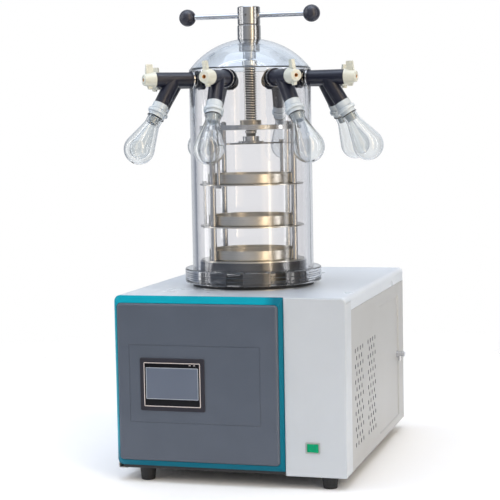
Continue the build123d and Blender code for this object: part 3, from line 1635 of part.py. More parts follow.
with BuildPart() as flask:
    with BuildSketch(Plane.XZ):
        with BuildLine():
            Line((neck_inner_radius, rim), (flask_neck_radius, rim))
            Line((flask_neck_radius, rim), (flask_neck_radius, neck_end))
            Line((flask_neck_radius, neck_end), touch_outer)
            ThreePointArc(
                touch_outer,
                (flask_bulb_radius * sin(radians(45)), bulb_middle + flask_bulb_radius * cos(radians(45))),
                (0, bulb_middle + flask_bulb_radius),
            )
            Line((0, bulb_middle + flask_bulb_radius), (0, bulb_middle + flask_inner_radius))
            ThreePointArc(
                (0, bulb_middle + flask_inner_radius),
                (flask_inner_radius * sin(radians(45)), bulb_middle + flask_inner_radius * cos(radians(45))),
                touch_inner,
            )
            Line(touch_inner, (neck_inner_radius, neck_end))
            Line((neck_inner_radius, neck_end), (neck_inner_radius, rim))
        make_face()
    revolve(axis=Axis.Z)

with BuildPart() as neck_adapters:
    with Locations(ports):
        with Locations(branch):
            add(adapter.part)
save(neck_adapters, "neck_adapters")

with BuildPart() as flasks:
    with Locations(ports):
        with Locations(branch):
            add(flask.part)
save(flasks, "flasks")
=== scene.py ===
import logging
import math
from collections.abc import Iterable, Sequence
from dataclasses import dataclass, field
from enum import Enum

import bmesh
import bpy
from mathutils import Matrix, Vector


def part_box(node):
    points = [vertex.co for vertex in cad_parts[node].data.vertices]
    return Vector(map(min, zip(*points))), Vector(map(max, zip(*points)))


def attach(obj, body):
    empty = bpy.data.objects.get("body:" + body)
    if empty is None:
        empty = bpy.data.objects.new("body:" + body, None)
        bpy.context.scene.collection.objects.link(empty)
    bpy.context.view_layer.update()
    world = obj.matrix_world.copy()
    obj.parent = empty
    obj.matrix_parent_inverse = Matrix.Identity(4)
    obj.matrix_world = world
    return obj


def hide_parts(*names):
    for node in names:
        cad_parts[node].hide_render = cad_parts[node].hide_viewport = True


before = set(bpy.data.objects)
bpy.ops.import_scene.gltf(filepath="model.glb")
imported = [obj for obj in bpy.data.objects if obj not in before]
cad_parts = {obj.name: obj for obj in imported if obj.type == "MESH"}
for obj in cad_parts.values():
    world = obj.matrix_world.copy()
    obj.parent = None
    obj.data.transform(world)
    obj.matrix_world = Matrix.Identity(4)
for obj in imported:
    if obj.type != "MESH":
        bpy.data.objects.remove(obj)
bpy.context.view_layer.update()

log = logging.getLogger("freeze_dryer")

Colour = tuple[float, float, float, float]
Point = tuple[float, float, float]
Span = tuple[float, float]
Mesh = bmesh.types.BMesh
Material = bpy.types.Material
Piece = bpy.types.Object
Socket = bpy.types.NodeSocket

TURN = 2 * math.pi
SQUARE = math.pi / 2
WELD_DISTANCE = 1e-7
SHARP_DEGREES = 30.0
CORNER_STEPS = 4
PORTS = 8
OUTWARD = Matrix.Rotation(SQUARE, 4, "Y")


def tint(code: str) -> Colour:
    """Turns a screen colour into the linear one that shaders use.

    Args:
        code: six hexadecimal digits, as in "c8d2dc".

    Returns:
        Linear red, green and blue, and an alpha of one.
    """
    values = [int(code[place:place + 2], 16) / 255 for place in (0, 2, 4)]
    linear = [v / 12.92 if v <= 0.04045 else ((v + 0.055) / 1.055) ** 2.4 for v in values]
    return (*linear, 1.0)


# ---- node trees
class Graph:
    """A node tree with short calls for adding and joining its nodes."""

    def __init__(self, tree: bpy.types.NodeTree) -> None:
        """Empties the tree and keeps it."""
        self.tree = tree
        tree.nodes.clear()

    def add(self, kind: str, **values: object) -> bpy.types.Node:
        """Adds a node.

        Args:
            kind: the node's type name.
            **values: socket names with spaces as underscores, or the node's own properties.

        Returns:
            The node.
        """
        node = self.tree.nodes.new(kind)
        for name, value in values.items():
            socket = node.inputs.get(name.replace("_", " "))
            if socket is None:
                setattr(node, name, value)
            else:
                self.feed(socket, value)
        return node

    def join(self, source: Socket, target: Socket) -> None:
        """Links an output to an input."""
        self.tree.links.new(source, target)

    def feed(self, socket: Socket, value: object) -> None:
        """Gives an input its value, or links it to the output that it takes its value from.

        Args:
            socket: the input.
            value: an output, a number, a colour or a point.
        """
        if isinstance(value, Socket):
            self.join(value, socket)
        else:
            socket.default_value = value

    def math(self, operation: str, first: object, second: object = 0.0) -> Socket:
        """Adds a Math node.

        Args:
            operation: its operation, as in "ADD".
            first: a socket or a number.
            second: a socket or a number.

        Returns:
            The node's output.
        """
        node = self.add("ShaderNodeMath", operation=operation)
        self.feed(node.inputs[0], first)
        self.feed(node.inputs[1], second)
        return node.outputs[0]

    def span(self, value: Socket, low: float, high: float) -> Socket:
        """Spreads a value that goes from zero to one over a range."""
        return self.add("ShaderNodeMapRange", Value=value, To_Min=low, To_Max=high).outputs[0]

    def share(self, value: Socket, start: float, end: float) -> Socket:
        """Returns how far a value has come, from zero at the start to one at the end."""
        return self.add("ShaderNodeMapRange", Value=value, From_Min=start, From_Max=end).outputs[0]

    def mix(self, share: Socket, first: Colour | Socket, second: Colour | Socket) -> Socket:
        """Mixes two colours.

        Args:
            share: how much of the second there is, from zero to one.
            first: a colour, or a colour's socket.
            second: a colour, or a colour's socket.

        Returns:
            The mixed colour's socket.
        """
        node = self.add("ShaderNodeMix", data_type="RGBA")
        factor, colours = node.inputs[0], [socket for socket in node.inputs if socket.type == "RGBA"]
        self.join(share, factor)
        self.feed(colours[0], first)
        self.feed(colours[1], second)
        return next(socket for socket in node.outputs if socket.type == "RGBA")

    def place(self) -> Socket:
        """Adds the object's own coordinates and returns their socket."""
        return self.add("ShaderNodeTexCoord").outputs["Object"]

    def parts(self, vector: Socket) -> tuple[Socket, Socket, Socket]:
        """Splits a vector into the sockets of x, y and z."""
        return tuple(self.add("ShaderNodeSeparateXYZ", Vector=vector).outputs)


class Effect(Enum):
    """The shader groups that several finishes share."""

    GRAIN = "fine_grain"
    TURNED = "turned_lines"
    HANDLING = "handling_marks"


def new_group(effect: Effect, inputs: Iterable[tuple[str, float]], outputs: Iterable[str]) -> Graph:
    """Starts a shader group with number sockets.

    Args:
        effect: which group it is.
        inputs: names and default values.
        outputs: names.

    Returns:
        The group's graph, still empty.
    """
    tree = bpy.data.node_groups.new(effect.value, "ShaderNodeTree")
    for name, value in inputs:
        socket = tree.interface.new_socket(name, in_out="INPUT", socket_type="NodeSocketFloat")
        socket.default_value = value
    for name in outputs:
        tree.interface.new_socket(name, in_out="OUTPUT", socket_type="NodeSocketFloat")
    return Graph(tree)


def build_effects(axis_y: float) -> None:
    """Makes the shared groups once.

    Args:
        axis_y: how far back the chamber's axis stands, which turned lines run round.
    """
    grain = new_group(Effect.GRAIN, [("Scale", 900.0), ("Blotch Scale", 9.0)], ["Height", "Blotch"])
    given = grain.add("NodeGroupInput").outputs
    place = grain.place()
    fine = grain.add("ShaderNodeTexNoise", Vector=place, Scale=given["Scale"], Detail=2.0)
    broad = grain.add("ShaderNodeTexNoise", Vector=place, Scale=given["Blotch Scale"], Detail=3.0)
    grain.add("NodeGroupOutput", Height=fine.outputs[0], Blotch=broad.outputs[0])

    turned = new_group(Effect.TURNED, [("Scale", 1400.0)], ["Lines", "Blotch", "Radius"])
    given = turned.add("NodeGroupInput").outputs
    place = turned.place()
    x, y, z = turned.parts(place)
    across = turned.math("POWER", x, 2.0)
    along = turned.math("POWER", turned.math("SUBTRACT", y, axis_y), 2.0)
    radius = turned.math("SQRT", turned.math("ADD", across, along))
    rings = turned.add("ShaderNodeCombineXYZ", X=radius, Z=z)
    lines = turned.add("ShaderNodeTexNoise", Vector=rings.outputs[0], Scale=given["Scale"], Detail=1.0)
    broad = turned.add("ShaderNodeTexNoise", Vector=place, Scale=14.0, Detail=2.0)
    turned.add("NodeGroupOutput", Lines=lines.outputs[0], Blotch=broad.outputs[0], Radius=radius)

    marks = new_group(Effect.HANDLING, [("Scale", 22.0), ("Amount", 0.3)], ["Mask"])
    given = marks.add("NodeGroupInput").outputs
    smear = marks.add(
        "ShaderNodeTexNoise", Vector=marks.place(), Scale=given["Scale"], Detail=5.0, Distortion=0.8,
    )
    band = marks.share(smear.outputs[0], start=0.5, end=0.75)
    marks.add("NodeGroupOutput", Mask=marks.math("MULTIPLY", band, given["Amount"]))


# ---- finishes
class Paint(Graph):
    """One material's graph, with its Principled shader at hand."""

    def __init__(self, name: str) -> None:
        """Makes the material and its shader.

        Args:
            name: the material's name.
        """
        self.material = bpy.data.materials.new(name)
        self.material.use_nodes = True
        super().__init__(self.material.node_tree)
        self.shader = self.add("ShaderNodeBsdfPrincipled")
        self.add("ShaderNodeOutputMaterial", Surface=self.shader.outputs[0])

    def set(self, **values: object) -> None:
        """Sets the shader's own sockets, named with underscores for spaces."""
        for name, value in values.items():
            self.feed(self.shader.inputs[name.replace("_", " ")], value)

    def effect(self, effect: Effect, **values: float) -> dict[str, Socket]:
        """Places a shared group.

        Args:
            effect: which group it is.
            **values: its inputs, named with underscores for spaces.

        Returns:
            The group's outputs by name.
        """
        node = self.add("ShaderNodeGroup", node_tree=bpy.data.node_groups[effect.value])
        for name, value in values.items():
            node.inputs[name.replace("_", " ")].default_value = value
        return {socket.name: socket for socket in node.outputs}

    def rough(self, noise: Socket, roughness: float, spread: Span) -> Socket:
        """Returns a roughness that wanders with a noise, by a spread under and over its middle."""
        under, over = spread
        return self.span(noise, roughness + under, roughness + over)

    def bump(self, height: Socket, distance: float) -> None:
        """Raises the surface by a height, given the distance that one stands for in metres."""
        node = self.add("ShaderNodeBump", Height=height, Distance=distance, Strength=1.0)
        self.set(Normal=node.outputs[0])


@dataclass(frozen=True)
class TwoTone:
    """A finish whose base colour wanders between two near tones."""

    name: str
    tone: str
    shade: str

    def base(self, paint: Paint, noises: dict[str, Socket]) -> Socket:
        """Returns the base colour, mixed from both tones by the broad noise."""
        return paint.mix(noises["Blotch"], tint(self.tone), tint(self.shade))


@dataclass(frozen=True)
class Moulding(TwoTone):
    """Moulded plastic, from satin to glossy, with a fine texture."""

    roughness: float = 0.35
    spread: Span = (-0.03, 0.04)
    texture: float = 0.00002
    scale: float = 1500.0
    blotch_scale: float = 16.0
    coat: float = 0.0
    coat_roughness: float = 0.08
    marks: float = 0.12
    marks_scale: float = 28.0
    specular: float = 0.5

    def build(self) -> Material:
        """Makes the material.

        Returns:
            The material.
        """
        paint = Paint(self.name)
        grain = paint.effect(Effect.GRAIN, Scale=self.scale, Blotch_Scale=self.blotch_scale)
        marks = paint.effect(Effect.HANDLING, Scale=self.marks_scale, Amount=self.marks)
        rough = paint.rough(grain["Blotch"], self.roughness, self.spread)
        paint.set(
            Base_Color=self.base(paint, grain),
            Roughness=paint.math("ADD", rough, marks["Mask"]),
            Specular_IOR_Level=self.specular,
            Coat_Weight=self.coat,
            Coat_Roughness=self.coat_roughness,
        )
        paint.bump(grain["Height"], self.texture)
        return paint.material


@dataclass(frozen=True)
class EdgedMoulding(Moulding):
    """A moulded frame, with painted shade down one side and along its foot where it turns away from the
    light.
    """

    # painted shade: its tone, how much of it, and where it grows across x and down z
    painted_shade_tone: str = "0a5a72"
    depth: float = 0.8
    side: Span = (0.085, 0.105)
    foot: Span = (0.085, 0.050)

    def base(self, paint: Paint, noises: dict[str, Socket]) -> Socket:
        """Mixes the base colour with painted shade where the frame turns down.

        Args:
            paint: the material's graph.
            noises: the shared group's outputs.

        Returns:
            The colour's socket.
        """
        x, _, z = paint.parts(paint.place())
        reach = paint.math("MAXIMUM", paint.share(x, *self.side), paint.share(z, *self.foot))
        share = paint.math("MULTIPLY", reach, self.depth)
        return paint.mix(share, super().base(paint, noises), tint(self.painted_shade_tone))


@dataclass(frozen=True)
class PaintedSheet(Moulding):
    """Powder-coated sheet steel, with the layers of a moulding and a slight orange peel."""

    roughness: float = 0.34
    spread: Span = (-0.04, 0.05)
    texture: float = 0.00004
    scale: float = 420.0
    blotch_scale: float = 3.5
    marks: float = 0.04
    marks_scale: float = 11.0


@dataclass(frozen=True)
class SlottedSheet(PaintedSheet):
    """Painted side sheet with painted shade on its slot walls and inner face, where the slots look into
    the dark inside.
    """

    # painted shade for the slot walls and the sheet's inside seen through the slots
    slot_shade_tone: str = "54565a"
    faces: Span = (-0.2225, 0.2435)
    skin: float = 0.0002
    slots: Span = (0.06, 0.30)
    slots_end: float = 0.01

    def base(self, paint: Paint, noises: dict[str, Socket]) -> Socket:
        """Mixes the base colour with painted shade below the outer faces where the slots are.

        Args:
            paint: the material's graph.
            noises: the shared group's outputs.

        Returns:
            The colour's socket.
        """
        x, y, z = paint.parts(paint.place())
        left, right = self.faces
        low, high = self.slots
        across = paint.math("ABSOLUTE", paint.math("SUBTRACT", x, (left + right) / 2))
        slot_shade_mask = paint.math("LESS_THAN", across, (right - left) / 2 - self.skin)
        for limit in (
            paint.math("GREATER_THAN", z, low),
            paint.math("LESS_THAN", z, high),
            paint.math("LESS_THAN", y, self.slots_end),
        ):
            slot_shade_mask = paint.math("MULTIPLY", slot_shade_mask, limit)
        return paint.mix(slot_shade_mask, super().base(paint, noises), tint(self.slot_shade_tone))


@dataclass(frozen=True)
class Steel(TwoTone):
    """Turned or drawn metal, with fine lines round the chamber's axis."""

    roughness: float = 0.22
    spread: float = 0.08
    lines: float = 0.00002
    line_scale: float = 1400.0

    def build(self) -> Material:
        """Makes the material.

        Returns:
            The material.
        """
        paint = Paint(self.name)
        turned = paint.effect(Effect.TURNED, Scale=self.line_scale)
        paint.set(
            Base_Color=self.base(paint, turned),
            Metallic=1.0,
            Roughness=paint.rough(turned["Lines"], self.roughness, (-self.spread / 2, self.spread)),
        )
        paint.bump(turned["Lines"], self.lines)
        return paint.material


@dataclass(frozen=True)
class ScrewSteel(Steel):
    """Turned steel whose thread is bright on its crests, with painted shade in its roots."""

    root_radius: float = 0.0104
    crest_radius: float = 0.0126

    def base(self, paint: Paint, noises: dict[str, Socket]) -> Socket:
        """Returns the base colour, which goes from painted shade in the roots to the tone on the crests.
        """
        height = paint.share(noises["Radius"], self.root_radius, self.crest_radius)
        return paint.mix(height, tint(self.shade), tint(self.tone))


@dataclass(frozen=True)
class ClearWall:
    """Clear acrylic or glass, with the faint waviness of a drawn or blown wall."""

    name: str
    tone: str
    ior: float
    roughness: float = 0.01
    spread: Span = (0.0, 0.03)
    blotch_scale: float = 30.0
    wave: float = 0.00003
    wave_scale: float = 9.0

    def build(self) -> Material:
        """Makes the material.

        Returns:
            The material.
        """
        paint = Paint(self.name)
        grain = paint.effect(Effect.GRAIN, Scale=self.wave_scale, Blotch_Scale=self.blotch_scale)
        paint.set(
            Base_Color=tint(self.tone),
            Roughness=paint.rough(grain["Blotch"], self.roughness, self.spread),
            IOR=self.ior,
            Transmission_Weight=1.0,
        )
        paint.bump(grain["Height"], self.wave)
        return paint.material


@dataclass(frozen=True)
class Rubber:
    """Moulded rubber or foam, dull, with a bloom of dust."""

    name: str
    tone: str
    bloom: str
    roughness: float = 0.6
    spread: Span = (-0.08, 0.08)
    texture: float = 0.00005
    scale: float = 700.0
    blotch_scale: float = 40.0
    amount: float = 0.4
    marks_scale: float = 60.0
    specular: float = 0.4

    def build(self) -> Material:
        """Makes the material.

        Returns:
            The material.
        """
        paint = Paint(self.name)
        grain = paint.effect(Effect.GRAIN, Scale=self.scale, Blotch_Scale=self.blotch_scale)
        marks = paint.effect(Effect.HANDLING, Scale=self.marks_scale, Amount=self.amount)
        paint.set(
            Base_Color=paint.mix(marks["Mask"], tint(self.tone), tint(self.bloom)),
            Roughness=paint.rough(grain["Blotch"], self.roughness, self.spread),
            Specular_IOR_Level=self.specular,
        )
        paint.bump(grain["Height"], self.texture)
        return paint.material


Finish = Moulding | Steel | ClearWall | Rubber

WHITE_PAINT = PaintedSheet("white_powder_coat", "ced5dd", "c7ced7", roughness=0.28)
# The side panels' slot walls and inside get painted shade.
SIDE_PAINT = SlottedSheet("side_powder_coat", "b0b1b1", "a9aaaa")
REAR_PAINT = PaintedSheet("rear_powder_coat", "b3b4b4", "acadad")
BLACK_PAINT = PaintedSheet("black_chassis_paint", "1c1c1e", "232326", roughness=0.5)
COMPRESSOR_PAINT = PaintedSheet("black_gloss_enamel", "111112", "19191b", roughness=0.2)
BOX_PAINT = PaintedSheet("grey_box_paint", "8a9097", "7f868e")
CORNER_WHITE = Moulding("white_corner_moulding", "c5cbd2", "bec4cb", roughness=0.3)
# The teal frame gets painted shade down its right side and along its foot.
TEAL = EdgedMoulding("teal_moulding", "009bb0", "008ea4", roughness=0.34, specular=0.1)
FASCIA_GREY = Moulding("grey_fascia_moulding", "525a68", "49515e", roughness=0.36, texture=0.00004)
BLACK_GLOSS = Moulding("black_gloss_plastic", "31333f", "2a2c38", roughness=0.24)
BEZEL_BLACK = Moulding("bezel_black_plastic", "2b2a33", "26252e", roughness=0.4, specular=0.3)
DISPLAY_BLACK = Moulding(
    "display_black_glass", "07070b", "09090e", roughness=0.08, texture=0.0, marks=0.04, specular=0.2,
)
DISPLAY_GREY = Moulding("display_field", "616a7b", "5b6475", roughness=0.16, texture=0.0, marks=0.05)
DISPLAY_EDGE = Moulding("display_field_edge", "a9b0ba", "a2a9b3", roughness=0.2, texture=0.0)
SILVER_LINE = Moulding("silver_line", "cfc6c4", "c6bdbc", roughness=0.3, texture=0.0)
SWITCH_GREEN = Moulding("green_rocker_plastic", "00a070", "009265", roughness=0.25, specular=0.15)
SWITCH_PALE = Moulding("pale_switch_frame", "a9aeae", "9ea4a4", roughness=0.35)
KNOB_CREAM = Moulding(
    "cream_knob_plastic", "d6d9cf", "cfcec0", roughness=0.34, texture=0.00004, scale=500.0,
)
ADAPTER_WHITE = Moulding(
    "pale_adapter_plastic", "ced7de", "bfc9d2", roughness=0.22, texture=0.00005, scale=260.0, coat=0.3,
)
VALVE_BLACK = Moulding("black_valve_plastic", "1b1e30", "151826", roughness=0.3, texture=0.00003)
BASE_BLACK = Moulding("black_rack_base_plastic", "4c4d53", "434449", roughness=0.14, coat=0.9)
FAN_GREY = Moulding("dark_fan_plastic", "3a3a3d", "333336", roughness=0.5)
HOSE_PALE = Moulding("pale_hose", "d8dcdf", "cdd1d5", roughness=0.4)
VENT_AMBER = Moulding("amber_vent", "d9a05c", "c98a44", roughness=0.3, texture=0.0)
FLANGE_LINE = Moulding("flange_joint", "3c444e", "343b45", roughness=0.2, texture=0.0)
JOINT_CEMENT = Moulding("joint_cement", "4a5560", "414b56", roughness=0.3, texture=0.0)
FOAM = Rubber("cream_insulating_foam", "e2d6a8", "cdbf8c", roughness=0.85, amount=0.7)
FOOT_RUBBER = Rubber("black_foot_rubber", "1b1b1d", "3a3a3c")
SEAL_RUBBER = Rubber("black_seal_rubber", "141416", "2a2a2e", roughness=0.5, amount=0.25)
SHELF_STEEL = Steel("shelf_steel", "e2dcd0", "d6d0c4", roughness=0.27)
BRIGHT_STEEL = Steel("bright_steel", "d0cfcd", "c4c3c1", roughness=0.15)
HUB_STEEL = Steel("hub_steel", "b0afae", "a4a3a3", roughness=0.2)
# The thread's roots get painted shade in the second tone.
SCREW_STEEL = ScrewSteel(
    "threaded_steel", "e2dcd2", "5a5650", roughness=0.2, lines=0.0, line_scale=900.0,
)
TRAP_STEEL = Steel("trap_steel", "b4b4b4", "a6a6a8", roughness=0.28)
CHROME = Steel("polished_chrome", "d2d4d8", "c8cacf", roughness=0.1, spread=0.01, lines=0.0)
COPPER = Steel("copper_tube", "c78257", "b8744b", roughness=0.3)
BRONZE = Steel("bronze_nut", "b9b0a0", "aaa090", roughness=0.28)
ALUMINIUM = Steel("aluminium_fins", "8d9093", "808387", roughness=0.45)
ACRYLIC = ClearWall("clear_acrylic", "f3f3f5", 1.49)
DOME_ACRYLIC = ClearWall("dome_acrylic", "eff5fc", 1.49)
FLASK_GLASS = ClearWall("flask_glass", "f2f4f5", 1.47, wave=0.00002, wave_scale=14.0)

SCENE_FINISHES = (DISPLAY_GREY, DISPLAY_EDGE, SILVER_LINE, VENT_AMBER, JOINT_CEMENT, FLANGE_LINE)
NODE_FINISHES = {
    WHITE_PAINT: ("top_cover",),
    SIDE_PAINT: ("left_side_panel", "right_side_panel"),
    REAR_PAINT: ("rear_panel",),
    CORNER_WHITE: ("corner_fascia",),
    BLACK_PAINT: ("chassis",),
    COMPRESSOR_PAINT: ("compressor",),
    BOX_PAINT: ("control_box",),
    TEAL: ("front_frame",),
    FASCIA_GREY: ("front_fascia",),
    BEZEL_BLACK: ("screen_bezel",),
    DISPLAY_BLACK: ("screen_glass",),
    BLACK_GLOSS: ("ball_knobs", "power_inlet"),
    SWITCH_PALE: ("switch_frame",),
    SWITCH_GREEN: ("switch_rocker",),
    FOOT_RUBBER: ("rubber_feet",),
    SEAL_RUBBER: ("seal_ring",),
    CHROME: ("panel_screws", "drain_valve", "drain_knob", "handle_bar"),
    TRAP_STEEL: ("cold_trap_pot", "vacuum_pipe"),
    COPPER: ("refrigerant_tubes",),
    FOAM: ("trap_insulation",),
    ALUMINIUM: ("condenser",),
    FAN_GREY: ("fan_frame", "fan_rotor"),
    HOSE_PALE: ("drain_tube",),
    BASE_BLACK: ("rack_base",),
    BRIGHT_STEEL: ("guide_rods", "rack_top_plate", "press_plate", "upper_hangers", "lower_hangers"),
    HUB_STEEL: ("gland_body", "gland_nut", "handle_hub"),
    SCREW_STEEL: ("spindle",),
    BRONZE: ("spindle_nut",),
    SHELF_STEEL: ("bottom_shelf", "middle_shelf", "top_shelf", "tray_bottom", "tray_middle", "tray_top"),
    ACRYLIC: ("chamber_tube",),
    DOME_ACRYLIC: ("chamber_dome",),
    VALVE_BLACK: ("valve_bodies",),
    ADAPTER_WHITE: ("neck_adapters",),
    FLASK_GLASS: ("flasks",),
    KNOB_CREAM: tuple(f"valve_knob_{index + 1}" for index in range(PORTS)),
}


# ---- mesh making
def finish_mesh(mesh: Mesh, name: str, material: Material) -> Piece:
    """Turns a bmesh into an object with smooth faces and creased corners.

    Args:
        mesh: the shape, which is used up.
        name: the piece's name.
        material: its finish.

    Returns:
        The object, linked to the scene.
    """
    bmesh.ops.remove_doubles(mesh, verts=mesh.verts, dist=WELD_DISTANCE)
    bmesh.ops.recalc_face_normals(mesh, faces=mesh.faces)
    for face in mesh.faces:
        face.smooth = True
    limit = math.radians(SHARP_DEGREES)
    for edge in mesh.edges:
        edge.smooth = len(edge.link_faces) == 2 and edge.calc_face_angle(0.0) < limit
    data = bpy.data.meshes.new(name)
    mesh.to_mesh(data)
    mesh.free()
    data.materials.append(material)
    piece = bpy.data.objects.new(name, data)
    bpy.context.scene.collection.objects.link(piece)
    return piece


def lathe(outline: Sequence[Span], place: Matrix, mesh: Mesh, steps: int = 64) -> None:
    """Turns a closed outline about its own upright axis.

    Args:
        outline: radius and height of each corner, in order.
        place: where the axis stands.
        mesh: what the faces are added to.
        steps: how many faces there are round it.
    """
    rings = []
    for step in range(steps):
        angle = TURN * step / steps
        direction = Vector((math.cos(angle), math.sin(angle), 0))
        spots = [direction * radius + Vector((0, 0, height)) for radius, height in outline]
        rings.append([mesh.verts.new(place @ spot) for spot in spots])
    count = len(outline)
    for step in range(steps):
        here, there = rings[step], rings[(step + 1) % steps]
        for index in range(count):
            after = (index + 1) % count
            if outline[index][0] or outline[after][0]:
                mesh.faces.new((here[index], there[index], there[after], here[after]))


def plate(
    centre: Vector, across: Vector, up: Vector, size: Span, depth: float, corner: float, hole: Span,
    mesh: Mesh,
) -> None:
    """Adds a flat plate with rounded corners, and a like-shaped hole when one is asked for.

    Args:
        centre: the middle of its front face.
        across: unit vector along its width.
        up: unit vector along its height.
        size: its width and height.
        depth: its thickness, behind the front face.
        corner: radius of its corners.
        hole: width and height of the hole, or zeros.
        mesh: what the faces are added to.
    """
    normal = across.cross(up)

    def loop(width: float, height: float, radius: float, level: float) -> list[bmesh.types.BMVert]:
        """Adds a rounded outline.

        Args:
            width: its width.
            height: its height.
            radius: radius of its corners.
            level: how far it lies behind the front face.

        Returns:
            Its vertices in order.
        """
        verts = []
        for turn, (side, rise) in enumerate(((1, 1), (-1, 1), (-1, -1), (1, -1))):
            offset = across * side * (width / 2 - radius) + up * rise * (height / 2 - radius)
            middle = centre + offset - normal * level
            for step in range(CORNER_STEPS + 1):
                angle = SQUARE * (turn + step / CORNER_STEPS)
                direction = across * math.cos(angle) + up * math.sin(angle)
                verts.append(mesh.verts.new(middle + direction * radius))
        return verts

    front = loop(*size, corner, 0.0)
    rear = loop(*size, corner, depth)
    count = len(front)
    sides = [(front, rear)]
    if hole[0]:
        inner = max(corner - (size[0] - hole[0]) / 2, corner / 4)
        front_hole, rear_hole = loop(*hole, inner, 0.0), loop(*hole, inner, depth)
        sides += [(rear_hole, front_hole), (front_hole, front), (rear, rear_hole)]
    else:
        mesh.faces.new(front)
        mesh.faces.new(rear[::-1])
    for one, other in sides:
        for index in range(count):
            after = (index + 1) % count
            mesh.faces.new((one[index], other[index], other[after], one[after]))


def settle(piece: Piece) -> Piece:
    """Makes a piece's modifiers part of its mesh.

    Args:
        piece: an object with live modifiers, which is removed.

    Returns:
        A plain object of the same name.
    """
    view = bpy.context.evaluated_depsgraph_get()
    view.update()
    data = bpy.data.meshes.new_from_object(piece.evaluated_get(view), depsgraph=view)
    name = piece.name
    bpy.data.objects.remove(piece)
    data.name = name
    plain = bpy.data.objects.new(name, data)
    bpy.context.scene.collection.objects.link(plain)
    return plain


class NodeShape:
    """A Geometry Nodes tree with named inputs, run once on a seed mesh."""

    def __init__(self, name: str, inputs: Iterable[tuple[str, str, object]]) -> None:
        """Makes the tree with a Geometry input, the named ones, and a Geometry output.

        Args:
            name: the tree's name.
            inputs: names, socket types and values.
        """
        self.tree = bpy.data.node_groups.new(name, "GeometryNodeTree")
        self.tree.interface.new_socket("Geometry", in_out="INPUT", socket_type="NodeSocketGeometry")
        self.values = {}
        for label, kind, value in inputs:
            socket = self.tree.interface.new_socket(label, in_out="INPUT", socket_type=kind)
            self.values[socket.identifier] = value
        self.tree.interface.new_socket("Geometry", in_out="OUTPUT", socket_type="NodeSocketGeometry")
        self.graph = Graph(self.tree)
        self.given = self.graph.add("NodeGroupInput").outputs
        self.out = self.graph.add("NodeGroupOutput").inputs

    def close(self, geometry: Socket) -> None:
        """Ends the tree in real geometry with its material.

        Args:
            geometry: the last shape's socket.
        """
        real = self.graph.add("GeometryNodeRealizeInstances", Geometry=geometry)
        dressed = self.graph.add(
            "GeometryNodeSetMaterial", Geometry=real.outputs[0], Material=self.given["Finish"],
        )
        self.graph.join(dressed.outputs[0], self.out[0])

    def run(self, seed: Piece) -> Piece:
        """Applies the tree.

        Args:
            seed: the object it starts from, which is used up.

        Returns:
            The plain result.
        """
        modifier = seed.modifiers.new(self.tree.name, "NODES")
        modifier.node_group = self.tree
        for identifier, value in self.values.items():
            modifier[identifier] = value
        seed.update_tag()
        return settle(seed)


# ---- sub-assemblies
@dataclass
class Assembly:
    """A part of the machine that gets pieces of its own."""

    finishes: dict[str, Material]
    pieces: list[Piece] = field(default_factory=list)

    def make(self, mesh: Mesh, name: str, finish: Finish) -> Piece:
        """Finishes a mesh as one of the pieces."""
        self.pieces.append(finish_mesh(mesh, name, self.finishes[finish.name]))
        return self.pieces[-1]


@dataclass(kw_only=True)
class Cabinet(Assembly):
    """The sheet-metal body, whose screen gets its face."""

    line_size: Span = (0.1161, 0.0871)
    line_width: float = 0.0016
    line_corner: float = 0.002
    field_size: Span = (0.105, 0.060)
    field_rise: float = 0.0025
    field_edge: float = 0.0012
    field_corner: float = 0.0003
    lift: float = 0.00015
    lamp_size: Span = (0.004, 0.0014)
    lamp_corner: float = 0.00056
    lamp_from_right: Span = (0.012, 0.021)
    lamp_from_top: float = 0.0045

    def build(self) -> list[Piece]:
        """Makes the screen's line, field and indicator lamps.

        Returns:
            The pieces, which ride on the cabinet.
        """
        low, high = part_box("screen_glass")
        middle = (low + high) / 2
        across, up = Vector((1, 0, 0)), Vector((0, 0, 1))
        face = Vector((middle.x, low.y - self.lift, middle.z))
        centre = face + up * self.field_rise
        outer, inner, lamp, none = self.line_size, self.field_size, self.lamp_size, (0.0, 0.0)
        width, height = outer
        right_top = face + across * width / 2 + up * (height / 2 - self.lamp_from_top)
        lamps = [right_top - across * inset for inset in self.lamp_from_right]
        hollow = tuple(side - 2 * self.line_width for side in outer)
        rim = tuple(side + 2 * self.field_edge for side in inner)
        for name, finish, slot, spots, size, corner, hole in (
            ("screen_silver_line", SILVER_LINE, "plastic_black", [face], outer, self.line_corner, hollow),
            ("screen_field_edge", DISPLAY_EDGE, "display_glass", [centre], rim, self.field_edge, inner),
            ("screen_field", DISPLAY_GREY, "display_glass", [centre], inner, self.field_corner, none),
            ("screen_indicator_lamps", SILVER_LINE, "plastic_black", lamps, lamp, self.lamp_corner, none),
        ):
            mesh = bmesh.new()
            for spot in spots:
                plate(spot, across, up, size, self.lift * 2, corner, hole, mesh)
            piece = self.make(mesh, name, finish)
            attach(piece, "cabinet")
        return self.pieces


